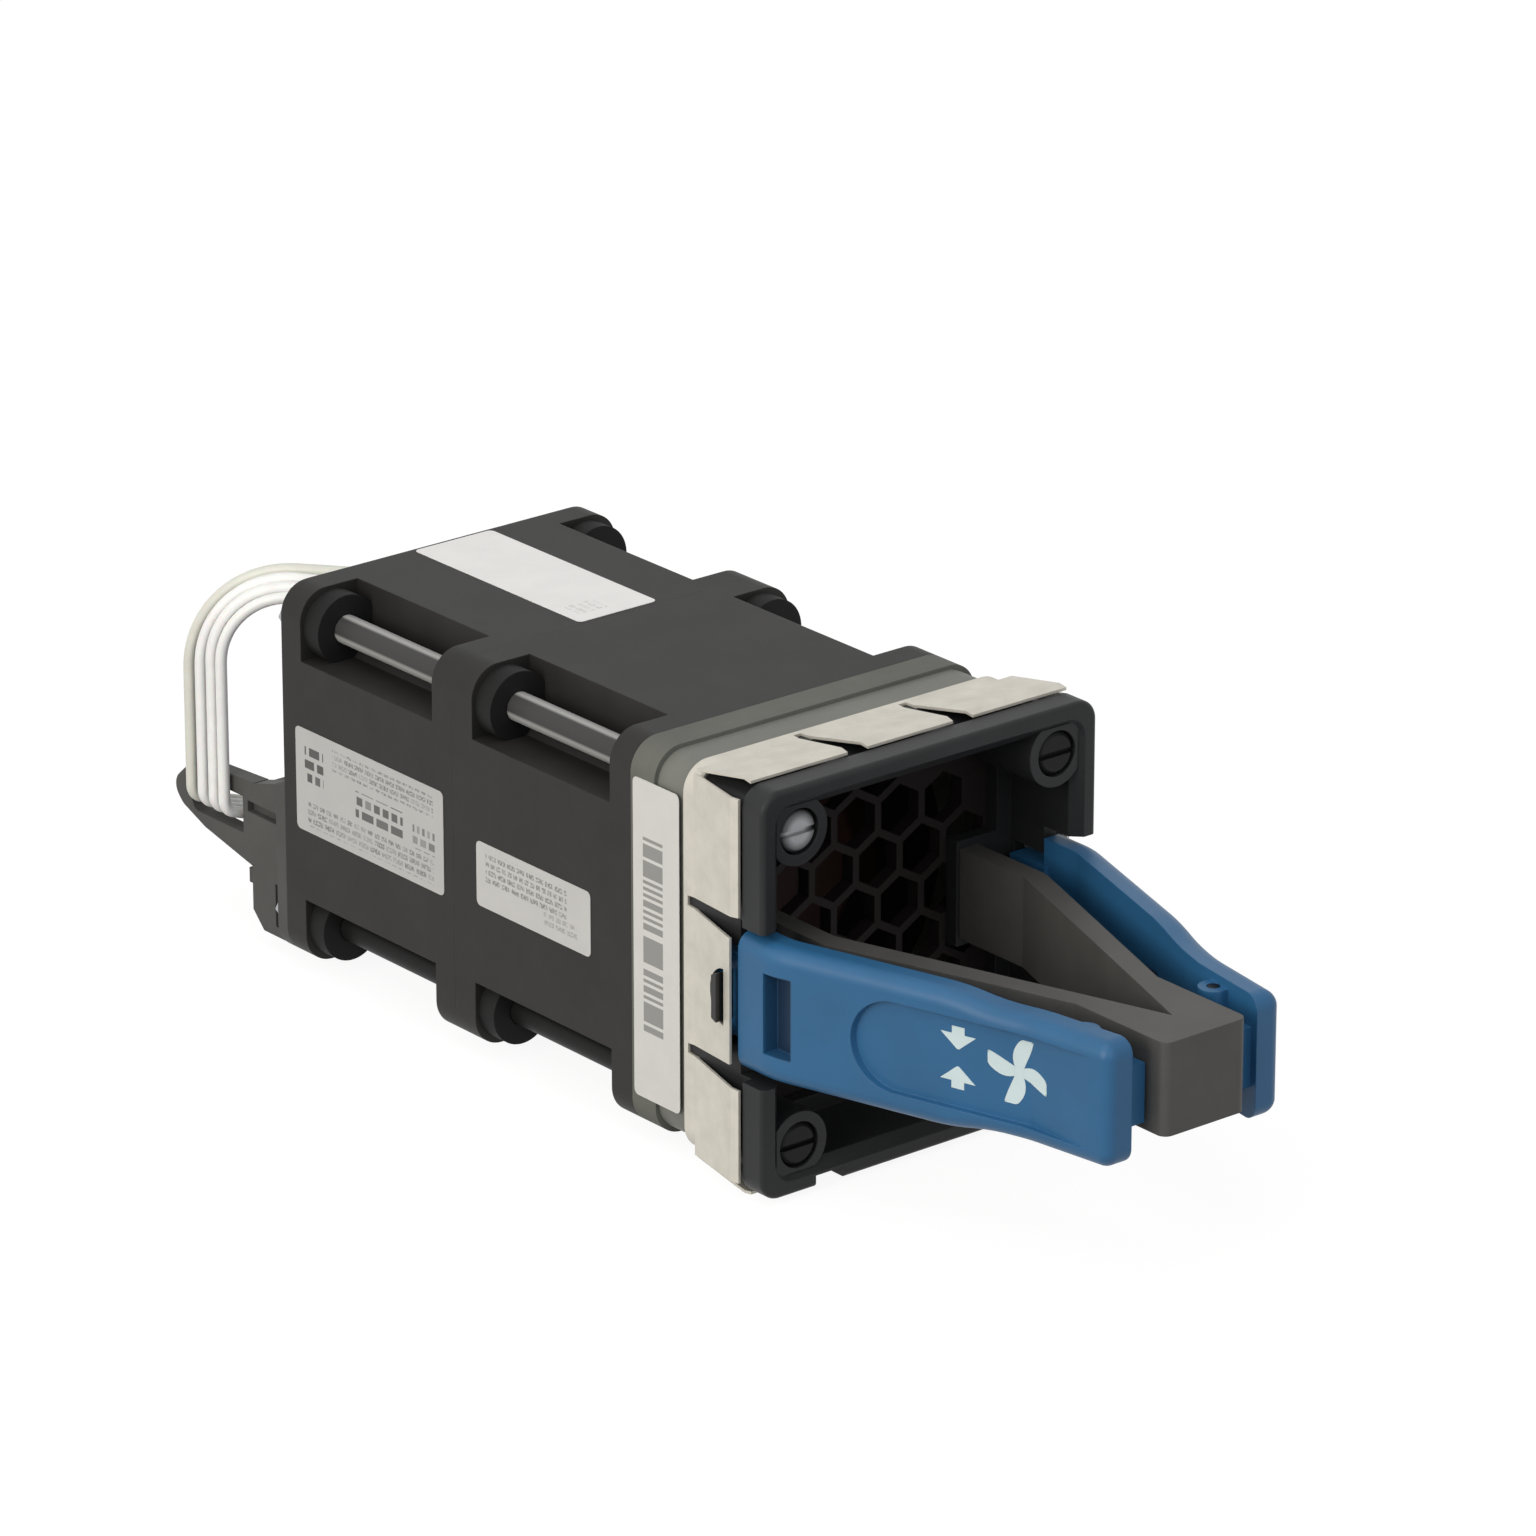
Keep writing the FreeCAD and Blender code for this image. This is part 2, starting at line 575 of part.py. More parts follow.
def bearings(front):
    """Two ball bearings, each as one closed ring."""
    rings = [ring_y(TUBE_IN, SHAFT_R + RUNNING, front + y, front + y + BEARING_THICK)
             for y in BEARING_FRONTS]
    return Part.makeCompound(rings)


def pole_neck(front):
    """Radial neck of one stator pole."""
    return box(CORE_RING_R - BITE, POLE_SHOE_IN + BITE / 2, front + CORE_FRONT, front + CORE_END,
               -POLE_WIDTH / 2, POLE_WIDTH / 2)


def stator_core(front):
    """Stack of laminations with four T-shaped poles."""
    y0, y1 = front + CORE_FRONT, front + CORE_END
    shoes = ring_y(POLE_R, POLE_SHOE_IN, y0, y1)
    step = 360 / POLE_COUNT
    gap = box(POLE_SHOE_IN - 2 * BITE, POLE_R + BITE, y0, y1, -POLE_GAP / 2, POLE_GAP / 2)
    for i in range(POLE_COUNT):
        shoes = shoes.cut(turned(gap, step * (i + 0.5)))
    necks = [turned(pole_neck(front), step * i) for i in range(POLE_COUNT)]
    return join([ring_y(CORE_RING_R, TUBE_R, y0, y1), shoes] + necks)


def coils(front):
    """One winding round each pole neck."""
    y0, y1 = front + CORE_FRONT, front + CORE_END
    half = POLE_WIDTH / 2 + COIL_WALL
    room = ring_y(POLE_SHOE_IN - COIL_FIT, CORE_RING_R + COIL_FIT, y0 - COIL_WALL, y1 + COIL_WALL)
    winding = room.common(box(0, POLE_SHOE_IN, y0 - COIL_WALL, y1 + COIL_WALL, -half, half))
    winding = winding.cut(pole_neck(front))
    return Part.makeCompound([turned(winding, 360 * i / POLE_COUNT) for i in range(POLE_COUNT)])


def circuit_board(front):
    """Round board that lies on the motor base."""
    y1 = front + HUB_BASE_FRONT
    return ring_y(BOARD_R, TUBE_R, y1 - BOARD_THICK, y1)


# --- screws, nuts, bushes -------------------------------------------------------------
def screw_seat():
    """Y of the face under the heads of the long screws."""
    return BEZEL_FRONT + BOSS_SET_BACK + SCREW_HEAD


def plate_under_nut(sz):
    """Thickness of the rear bracket under a nut: only the lower two clamp it."""
    return PLATE_THICK if sz < 0 else 0.0


def long_screws():
    """Four long screws that hold the whole stack together."""
    screws = []
    for sx, sz in CORNERS:
        x, z = sx * SCREW_AT, sz * SCREW_AT
        seat = screw_seat()
        end = FANS_END + plate_under_nut(sz) + NUT_THICK + SCREW_STICK_OUT
        head = rod_y(x, z, SCREW_HEAD_R, seat - SCREW_HEAD, seat)
        rim = [e for e in head.Edges if abs(e.BoundBox.YMax - (seat - SCREW_HEAD)) < 1e-6]
        head = head.makeChamfer(HEAD_CHAMFER, rim)
        slot = box(x - SCREW_HEAD_R, x + SCREW_HEAD_R, seat - SCREW_HEAD, seat - SCREW_HEAD / 2,
                   z - SCREW_SLOT / 2, z + SCREW_SLOT / 2)
        screws.append(join([head.cut(slot), rod_y(x, z, SCREW_R, seat, end)]))
    return Part.makeCompound(screws)


def nuts():
    """Four hexagon nuts at the rear."""
    made = []
    for sx, sz in CORNERS:
        y0 = FANS_END + plate_under_nut(sz)
        corners = [Vector(sx * SCREW_AT + NUT_R * math.cos(math.radians(60 * k)), y0,
                          sz * SCREW_AT + NUT_R * math.sin(math.radians(60 * k)))
                   for k in range(7)]
        body = Part.Face(Part.makePolygon(corners)).extrude(Vector(0, NUT_THICK, 0))
        made.append(body.cut(rod_y(sx * SCREW_AT, sz * SCREW_AT, SCREW_R, y0, y0 + NUT_THICK)))
    return Part.makeCompound(made)


def bushes():
    """Rubber bushes in the casing corners, in front of each fan's rear flange."""
    made = []
    for rear in (FAN_DEPTH, FANS_END):
        y1 = rear - FLANGE_THICK
        y0 = y1 - BUSH_THICK
        core = casing_core(y0, y1)
        for sx, sz in CORNERS:
            x, z = sx * SCREW_AT, sz * SCREW_AT
            bush = rod_y(x, z, BUSH_R, y0, y1).cut(rod_y(x, z, SCREW_R + SCREW_CLEAR, y0, y1))
            made.append(bush.cut(core))
    return Part.makeCompound(made)


# --- collar, grille, bezel, gasket ----------------------------------------------------
def square_frame(width, y0, y1):
    """Square frame with the round duct and the four screw holes through it."""
    frame = rounded_block(width, FLANGE_CORNER, y0, y1).cut(rod_y(0, 0, DUCT_R, y0, y1))
    return frame.cut(Part.makeCompound(screw_holes(y0, y1)))


def collar():
    """Rubber damping collar in front of the front fan."""
    return square_frame(FAN_WIDTH, -COLLAR_THICK, 0)


def adapter():
    """Plastic adapter frame between the collar and the bezel."""
    return square_frame(FAN_WIDTH - 2 * ADAPTER_STEP, STACK_FRONT, -COLLAR_THICK)


def grille():
    """Honeycomb finger guard."""
    y0, y1 = GRILLE_FRONT, STACK_FRONT
    plate = rounded_block(GRILLE_WIDTH, GRILLE_CORNER, y0, y1)
    reach = CELL_FLATS / math.sqrt(3)
    row_pitch = CELL_PITCH * math.sqrt(3) / 2
    limit = DUCT_R - CELL_FLATS / 2
    cells = []
    for row in range(-CELL_ROWS, CELL_ROWS + 1):
        for column in range(-CELL_ROWS, CELL_ROWS + 1):
            x = (column + 0.5 * (row % 2)) * CELL_PITCH
            z = row * row_pitch
            if math.hypot(x, z) > limit:
                continue
            corners = [Vector(x + reach * math.sin(math.radians(60 * k)), y0,
                              z + reach * math.cos(math.radians(60 * k))) for k in range(7)]
            cells.append(Part.Face(Part.makePolygon(corners)).extrude(Vector(0, y1 - y0, 0)))
    return plate.cut(Part.makeCompound(cells + screw_holes(y0, y1)))


def bezel():
    """Moulded bezel: shell, stepped rim, corner bosses, ledge, pads and lever cut-outs."""
    back = STACK_FRONT
    shell = join([rounded_block(BEZEL_WIDTH, BEZEL_CORNER, RIM_BACK, back),
                  rounded_block(RIM_WIDTH, RIM_CORNER, BEZEL_FRONT, RIM_BACK)])
    shell = round_edges(shell, RIM_ROUND, lambda e: abs(e.BoundBox.YMax - BEZEL_FRONT) < 1e-6)
    pocket = GRILLE_WIDTH + 2 * GRILLE_GAP
    shell = shell.cut(rounded_block(pocket, GRILLE_CORNER + GRILLE_GAP, GRILLE_FRONT, back))
    shell = shell.cut(rounded_block(LEDGE_INSIDE, LEDGE_CORNER, LEDGE_FRONT, GRILLE_FRONT))
    shell = shell.cut(rounded_block(BEZEL_INSIDE, BEZEL_IN_CORNER, BEZEL_FRONT, LEDGE_FRONT))
    inside = BEZEL_INSIDE / 2
    mouth = [e for e in shell.Edges if e.BoundBox.YMax < BEZEL_FRONT + 1e-6
             and max(e.BoundBox.XMax, -e.BoundBox.XMin) < inside + 1e-6]
    shell = shell.makeChamfer(MOUTH_CHAMFER, mouth)
    extras = []
    wide = inside + MOUTH_CHAMFER / 2
    for sx, sz in CORNERS:
        boss = rod_y(sx * SCREW_AT, sz * SCREW_AT, BOSS_R, BEZEL_FRONT + BOSS_SET_BACK, LEDGE_FRONT)
        extras.append(boss.common(box(-wide, wide, BEZEL_FRONT, LEDGE_FRONT, -wide, wide)))
    for sx in (-1, 1):
        xs = sorted((sx * (ARM_IN - PAD_MARGIN), sx * inside))
        extras.append(box(xs[0], xs[1], LEDGE_FRONT, GRILLE_FRONT, YOKE_Z - PAD_HALF, YOKE_Z + PAD_HALF))
    shell = join([shell] + extras)
    cuts = screw_holes(BEZEL_FRONT, GRILLE_FRONT)
    for sx, sz in CORNERS:
        cuts.append(rod_y(sx * SCREW_AT, sz * SCREW_AT, SCREW_HEAD_R + HEAD_ROOM, BEZEL_FRONT,
                          screw_seat()))
    for sx in (-1, 1):
        xs = sorted((sx * inside, sx * (RIM_WIDTH / 2 + BITE)))
        for half, back in ((LEVER_BASE_HALF, LEVER_BACK), (TAIL_HALF, TAIL_BACK)):
            gap = half + LEVER_SIDE_GAP
            cuts.append(box(xs[0], xs[1], BEZEL_FRONT, back + TAIL_ROOM, LEVER_Z - gap, LEVER_Z + gap))
        x = sx * LIP_NOTCH_X
        bottom = -RIM_WIDTH / 2
        cuts.append(box(x - LIP_NOTCH_WIDTH / 2, x + LIP_NOTCH_WIDTH / 2, BEZEL_FRONT, RIM_BACK,
                        bottom, bottom + LIP_NOTCH_DEPTH))
        cuts.append(handle_screw(sx))
    return shell.cut(Part.makeCompound(cuts)).removeSplitter()


def finger_strip():
    """Sprung strip on the upper side of the gasket, before it is slotted into fingers."""
    root, top = GRILLE_FRONT, BEZEL_WIDTH / 2 + SHEET
    crest = top + FINGER_RISE
    outer = [(root, top), (FINGER_BEND, crest), (FINGER_TIP, crest - FINGER_DROP)]
    profile = outer + [(y, z - SHEET) for y, z in reversed(outer)]
    return plate_x(profile, -FINGER_SPAN / 2, FINGER_SPAN / 2)


def finger_slots(slot_at, slot_centre, middle_tip):
    """What is cut from the upper side: two tapered slots and the end of the middle finger."""
    low, high = BEZEL_WIDTH / 2, BEZEL_WIDTH / 2 + SHEET + FINGER_RISE + BITE
    front = FINGER_TIP - BITE
    cuts = []
    for side in (-1, 1):
        x = slot_centre + side * slot_at
        root = STACK_FRONT - SLOT_START
        wedge = [(x - SLOT_ROOT / 2, root), (x + SLOT_ROOT / 2, root),
                 (x + SLOT_FRONT / 2, front), (x - SLOT_FRONT / 2, front)]
        cuts.append(plate_z(wedge, low, high))
    if middle_tip > FINGER_TIP:
        cuts.append(box(slot_centre - slot_at, slot_centre + slot_at, front, middle_tip, low, high))
    return cuts


def tooth_outline(grow, x0, x1):
    """D-shaped bar along X: the latch tooth, or its window when grown."""
    bar = rod_x(TOOTH_CENTRE, LEVER_Z, TOOTH_R + grow, x0, x1)
    flat = TOOTH_FLAT - grow
    reach = 2 * TOOTH_R
    return bar.cut(box(x0, x1, TOOTH_CENTRE - reach, flat, LEVER_Z - reach, LEVER_Z + reach))


def gasket():
    """Spring-finger shielding gasket: a band with three fingers on each side."""
    width = BEZEL_WIDTH + 2 * SHEET
    band = rounded_block(width, BEZEL_CORNER + SHEET, GRILLE_FRONT - BAND_REACH, STACK_FRONT)
    band = band.cut(rounded_block(BEZEL_WIDTH, BEZEL_CORNER, GRILLE_FRONT - BAND_REACH, STACK_FRONT))
    strip = finger_strip()
    whole = join([band] + [turned(strip, 90 * k) for k in range(4)])
    cuts = []
    for degrees in (0, 180):
        cuts += [turned(c, degrees) for c in finger_slots(FACE_SLOTS, 0, FINGER_TIP)]
    for degrees, centre in ((90, LEVER_Z), (-90, -LEVER_Z)):
        cuts += [turned(c, degrees) for c in finger_slots(SIDE_SLOTS, centre, SHORT_FINGER_TIP)]
    window = tooth_outline(TOOTH_GAP, BEZEL_WIDTH / 2 - BITE, TOOTH_OUT + BITE)
    return whole.cut(Part.makeCompound(cuts + [window, mirrored(window)]))


# --- handle yoke ----------------------------------------------------------------------
def hinge_lug():
    """Lug on the right of the nose that carries the hinge pin."""
    z0, z1 = LEVER_Z - LUG_HALF, LEVER_Z + LUG_HALF
    lug = join([rod_z(PIN_X, PIN_Y, LUG_R, z0, z1),
                box(NOSE_HALF - BITE, PIN_X, PIN_Y - LUG_R, PIN_Y + LUG_R, z0, z1)])
    return lug.cut(rod_z(PIN_X, PIN_Y, PIN_R, z0, z1))


def yoke():
    """V-shaped handle: two arms that meet in a nose block."""
    z0, z1 = YOKE_Z - YOKE_HEIGHT / 2, YOKE_Z + YOKE_HEIGHT / 2
    slope = (ARM_OUT - NOSE_HALF) / (ARM_BEND - NOSE_BACK)
    inner_bend = CROTCH + ARM_IN / slope
    half = [(ARM_OUT, LEDGE_FRONT), (ARM_OUT, ARM_BEND), (NOSE_HALF, NOSE_BACK), (NOSE_HALF, NOSE_FRONT),
            (0, NOSE_FRONT), (0, CROTCH), (ARM_IN, inner_bend), (ARM_IN, LEDGE_FRONT)]
    right = plate_z(half, z0, z1)
    right = round_edges(right, ARM_ROUND, lambda e: upright_at(e, ARM_OUT, ARM_BEND))
    right = round_edges(right, NOSE_ROUND, lambda e: upright_at(e, NOSE_HALF, NOSE_FRONT))
    peg = rod_x(PEG_Y, LEVER_Z, PEG_R, ARM_OUT - BITE, ARM_OUT + LEAF_THICK + PEG_HEAD)
    right = join([right, hinge_lug(), peg]).cut(handle_screw(1))
    return join([right, mirrored(right)])


def handle_screw(side):
    """Screw that holds one arm to its pad, from behind."""
    x = side * (ARM_IN + ARM_THICK / 2)
    head = rod_y(x, YOKE_Z, HANDLE_SCREW_HEAD_R, GRILLE_FRONT - HANDLE_SCREW_HEAD, GRILLE_FRONT)
    shank = rod_y(x, YOKE_Z, HANDLE_SCREW_R, GRILLE_FRONT - HANDLE_SCREW_LENGTH,
                  GRILLE_FRONT - HANDLE_SCREW_HEAD)
    return join([head, shank])


def hinge_pins():
    """Upright steel pins, one for each lever."""
    pin = rod_z(PIN_X, PIN_Y, PIN_R, LEVER_Z - PIN_HALF, LEVER_Z + PIN_HALF)
    return Part.makeCompound([pin, mirrored(pin)])


# --- squeeze levers -------------------------------------------------------------------
def lever_outer_x(y):
    """X of the straight part of the lever's outer face at this Y."""
    share = (y - LEVER_BEND) / (LEVER_FLARE - LEVER_BEND)
    return LEVER_OUT + share * (LEVER_FLARE_OUT - LEVER_OUT)


def lever_slant():
    """Angle between the straight part of the lever and the fan axis, in radians."""
    return math.atan((LEVER_OUT - LEVER_FLARE_OUT) / (LEVER_BEND - LEVER_FLARE))


def lever_blank():
    """Lever plate seen from above: flat base, long slant and a tip that flares out."""
    z0 = LEVER_Z - LEVER_BASE_HALF
    outer = [Vector(LEVER_OUT, LEVER_BACK, z0), Vector(LEVER_OUT, LEVER_BEND, z0),
             Vector(LEVER_FLARE_OUT, LEVER_FLARE, z0), Vector(LEVER_TIP_OUT, LEVER_FRONT, z0)]
    inner = [point - Vector(LEVER_THICK, 0, 0) for point in outer]
    outer_run = filleted_path(outer, (BASE_BEND_R, FLARE_BEND_R))
    inner_run = filleted_path(inner, (BASE_BEND_IN_R, FLARE_BEND_R))
    ends = [Part.makeLine(outer[0], inner[0]), Part.makeLine(outer[-1], inner[-1])]
    rim = Part.Wire(Part.sortEdges(outer_run.Edges + ends + inner_run.Edges)[0])
    return Part.Face(rim).extrude(Vector(0, 0, 2 * LEVER_BASE_HALF))


def lever_side_view():
    """Lever outline seen from the side: full height at the base, lower at the tip."""
    base, tip = LEVER_BASE_HALF, LEVER_TIP_HALF
    mid = (WAIST_BACK + WAIST_FRONT) / 2
    middle = (base + tip) / 2
    quarter = (WAIST_BACK - WAIST_FRONT) / 4
    bend = (base - tip) / 8
    z = LEVER_Z

    def run(sign):
        first = Part.Arc(Vector(0, WAIST_BACK, z + sign * base),
                         Vector(0, mid + quarter, z + sign * (middle + 3 * bend)),
                         Vector(0, mid, z + sign * middle)).toShape()
        second = Part.Arc(Vector(0, mid, z + sign * middle),
                          Vector(0, mid - quarter, z + sign * (middle - 3 * bend)),
                          Vector(0, WAIST_FRONT, z + sign * tip)).toShape()
        return [first, second]

    back, front = TAIL_BACK + BITE, LEVER_FRONT - BITE
    edges = [Part.makeLine(Vector(0, back, z - base), Vector(0, back, z + base)),
             Part.makeLine(Vector(0, back, z + base), Vector(0, WAIST_BACK, z + base))]
    edges += run(1)
    edges += [Part.makeLine(Vector(0, WAIST_FRONT, z + tip), Vector(0, front, z + tip)),
              Part.makeLine(Vector(0, front, z + tip), Vector(0, front, z - tip)),
              Part.makeLine(Vector(0, front, z - tip), Vector(0, WAIST_FRONT, z - tip))]
    edges += run(-1)
    edges.append(Part.makeLine(Vector(0, WAIST_BACK, z - base), Vector(0, back, z - base)))
    wire = Part.Wire(Part.sortEdges(edges)[0])
    return Part.Face(wire).extrude(Vector(LEVER_OUT + BITE, 0, 0))


def thumb_rest():
    """Shallow pocket in the outer face: round at the back, running out at the tip."""
    back, high = REST_BACK - REST_HALF, LEVER_OUT + BITE
    front = LEVER_FRONT - BITE
    outline = join([rod_x(back, LEVER_Z, REST_HALF, 0, high),
                    box(0, high, front, back, LEVER_Z - REST_HALF, LEVER_Z + REST_HALF)])
    run_out = LEVER_TIP_OUT + REST_FADE
    floor = [(lever_outer_x(REST_BACK + BITE) - REST_DEPTH, REST_BACK + BITE),
             (LEVER_FLARE_OUT - REST_DEPTH, LEVER_FLARE), (run_out, LEVER_FRONT),
             (run_out, front), (high, front), (high, REST_BACK + BITE)]
    reach = REST_HALF + BITE
    return outline.common(plate_z(floor, LEVER_Z - reach, LEVER_Z + reach))


def latch_tooth():
    """Latch tooth on the right: D-shaped insert with a lead-in slope at its back."""
    tooth = tooth_outline(0, TAIL_OUT - TOOTH_ROOT, TOOTH_OUT)
    back = TOOTH_CENTRE + TOOTH_R
    ramp = plate_z([(TOOTH_OUT - RAMP_DEPTH, back), (TOOTH_OUT, back - RAMP_LENGTH),
                    (TOOTH_OUT + BITE, back)], LEVER_Z - TAIL_HALF, LEVER_Z + TAIL_HALF)
    return tooth.cut(ramp)


def right_lever():
    """Squeeze lever with tail, seat of the tooth, thumb rest, stop heel and hinge knuckles."""
    body = lever_blank().common(lever_side_view())
    body = round_edges(body, TIP_EDGE_ROUND, lambda e: upright_at(e, LEVER_TIP_OUT, LEVER_FRONT))
    body = round_edges(body, EDGE_ROUND, lambda e: abs(e.BoundBox.YMin - LEVER_FRONT) < 1e-6
                       and e.BoundBox.ZLength < 1e-6 and e.BoundBox.YLength < 1e-6)
    body = body.cut(thumb_rest())
    recess = box(LEVER_OUT - RECESS_DEPTH, LEVER_OUT + BITE, RECESS_FAR, RECESS_NEAR,
                 LEVER_Z - RECESS_HALF, LEVER_Z + RECESS_HALF)
    body = body.cut(recess)
    tail = box(TAIL_OUT - TAIL_THICK, TAIL_OUT, LEVER_BACK - BITE, TAIL_BACK,
               LEVER_Z - TAIL_HALF, LEVER_Z + TAIL_HALF)
    heel = box(NOSE_HALF + STOP_GAP, LEVER_FLARE_OUT - LEVER_THICK, STOP_FRONT, STOP_FRONT + STOP_LENGTH,
               LEVER_Z - STOP_HALF, LEVER_Z + STOP_HALF)
    knuckles = rod_z(PIN_X, PIN_Y, KNUCKLE_R, LEVER_Z - PIN_HALF, LEVER_Z + PIN_HALF)
    webs = box(PIN_X, LEVER_FLARE_OUT - LEVER_THICK + 2 * BITE, PIN_Y - KNUCKLE_R, PIN_Y + KNUCKLE_R,
               LEVER_Z - PIN_HALF, LEVER_Z + PIN_HALF)
    whole = join([body, tail, heel, knuckles, webs])
    lug_room = LUG_HALF + KNUCKLE_GAP
    room = rod_z(PIN_X, PIN_Y, LUG_R + KNUCKLE_GAP, LEVER_Z - lug_room, LEVER_Z + lug_room)
    mouth = box(PIN_X - 2 * KNUCKLE_R, PIN_X, PIN_Y - LUG_R - KNUCKLE_GAP, PIN_Y + LUG_R + KNUCKLE_GAP,
                LEVER_Z - lug_room, LEVER_Z + lug_room)
    bore = rod_z(PIN_X, PIN_Y, PIN_R + PIN_CLEAR, LEVER_Z - PIN_HALF, LEVER_Z + PIN_HALF)
    return whole.cut(Part.makeCompound([room, mouth])).cut(bore).cut(latch_tooth()).removeSplitter()


def right_leaf_spring():
    """Leaf spring: foot on the arm, blade that presses the lever outwards."""
    x0 = ARM_OUT
    tip_x = lever_outer_x(LEAF_TIP) - LEVER_THICK / math.cos(lever_slant()) - LEAF_GAP
    face = [(x0, LEAF_BACK), (x0, ARM_BEND), (tip_x - LEAF_THICK, LEAF_TIP)]
    points = face + [(x + LEAF_THICK, y) for x, y in reversed(face)]
    strip = plate_z(points, LEVER_Z - LEAF_HALF, LEVER_Z + LEAF_HALF)
    return strip.cut(rod_x(PEG_Y, LEVER_Z, PEG_R, x0, x0 + LEAF_THICK))


# --- rear bracket and connector -------------------------------------------------------
def cheek():
    """Upright wall beside the leads, with the loop that they pass through."""
    floor = -HALF
    end, tip = FANS_END + CHEEK_LENGTH, FANS_END + CHEEK_LENGTH + LOOP_LENGTH
    middle = floor + LOOP_MIDDLE
    high, low = middle + LOOP_HALF, middle - LOOP_HALF
    wall = plate_x([(FANS_END, floor + CHEEK_TOP_STEP), (end, floor + CHEEK_NECK),
                    (end, floor + CHEEK_FOOT + CHEEK_THICK), (end - CHEEK_THICK, floor + CHEEK_FOOT),
                    (FANS_END, floor + CHEEK_FOOT)], CHEEK_OUT, CHEEK_IN)
    loop = plate_x([(end - BITE, high + LOOP_NOSE / 3), (tip - 2 * LOOP_NOSE, high), (tip, middle),
                    (tip - LOOP_NOSE, middle - LOOP_NOSE), (tip - 3 * LOOP_NOSE, low),
                    (end - BITE, low - LOOP_NOSE)], CHEEK_OUT, CHEEK_IN)
    loop = round_edges(loop, LOOP_ROUND, lambda e: crosswise_behind(e, end))
    far = tip - LOOP_WALL_REAR
    eye = plate_x([(end + LOOP_WALL, low + LOOP_WALL), (far - LOOP_NOSE / 2, low + LOOP_WALL),
                   (far, middle), (far - LOOP_NOSE / 2, high - LOOP_WALL),
                   (end + LOOP_WALL, high - LOOP_WALL)], CHEEK_OUT, CHEEK_IN)
    eye = round_edges(eye, EYE_ROUND, lambda e: crosswise_behind(e, end + LOOP_WALL))
    groove = box(CHEEK_OUT, CHEEK_OUT + GROOVE_DEPTH, FANS_END + CHEEK_THICK + PLATE_THICK / 2, end + BITE,
                 middle + GROOVE_HALF, middle + 3 * GROOVE_HALF)
    return join([wall, loop]).cut(Part.makeCompound([eye, groove]))


def rear_bracket():
    """Moulded bracket: clamped plate, stepped cheek with lead loop, and shelf."""
    y0 = FANS_END
    y1 = y0 + PLATE_THICK
    shelf_end = y0 + SHELF_LENGTH
    plate = rounded_block(FAN_WIDTH, FLANGE_CORNER, y0, y1)
    plate = plate.cut(rod_y(0, 0, DUCT_R, y0, y1))
    plate = plate.common(box(-HALF, HALF, y0, y1, -HALF, SHELF_TOP + PLATE_RISE))
    strap = box(-HALF, CHEEK_IN, y0, y1, SHELF_TOP, CHEEK_TOP_STEP - HALF)
    under = SHELF_TOP - SHELF_THICK
    shelf = box(CHEEK_IN - BITE, SHELF_RIGHT, y0, shelf_end, under, SHELF_TOP)
    stop = box(CONNECTOR_RIGHT, SHELF_RIGHT, y0, shelf_end, under, SHELF_TOP + SHELF_STOP)
    stay = box(CONNECTOR_RIGHT, SHELF_RIGHT, y0, y0 + STAY_LENGTH, CHEEK_FOOT - HALF, under)
    whole = join([plate, strap, cheek(), shelf, stop, stay])
    room_end = y1 + NUT_THICK + SCREW_STICK_OUT + NUT_ROOM
    rooms = [rod_y(sx * SCREW_AT, -SCREW_AT, NUT_R + NUT_ROOM, y1, room_end) for sx in (-1, 1)]
    return whole.cut(Part.makeCompound(screw_holes(y0, y1) + rooms))


def socket_places():
    """X of each connector socket."""
    middle = (CONNECTOR_LEFT + CONNECTOR_RIGHT) / 2
    return [middle + CONTACT_PITCH * (k - 1.5) for k in range(4)]


def connector_housing():
    """Plug body with four sockets in its rear face."""
    body = box(CONNECTOR_LEFT, CONNECTOR_RIGHT, CONNECTOR_FRONT, CONNECTOR_REAR, SHELF_TOP,
               SHELF_TOP + CONNECTOR_HEIGHT)
    half = SOCKET_SIZE / 2
    sockets = [box(x - half, x + half, CONNECTOR_REAR - SOCKET_DEPTH, CONNECTOR_REAR,
                   CONTACT_Z - half, CONTACT_Z + half) for x in socket_places()]
    return body.cut(Part.makeCompound(sockets))


def contacts():
    """Spring contacts at the bottom of the sockets."""
    half = CONTACT_SIZE / 2
    y0 = CONNECTOR_REAR - SOCKET_DEPTH
    return Part.makeCompound([box(x - half, x + half, y0, y0 + CONTACT_LENGTH, CONTACT_Z - half,
                                  CONTACT_Z + half) for x in socket_places()])


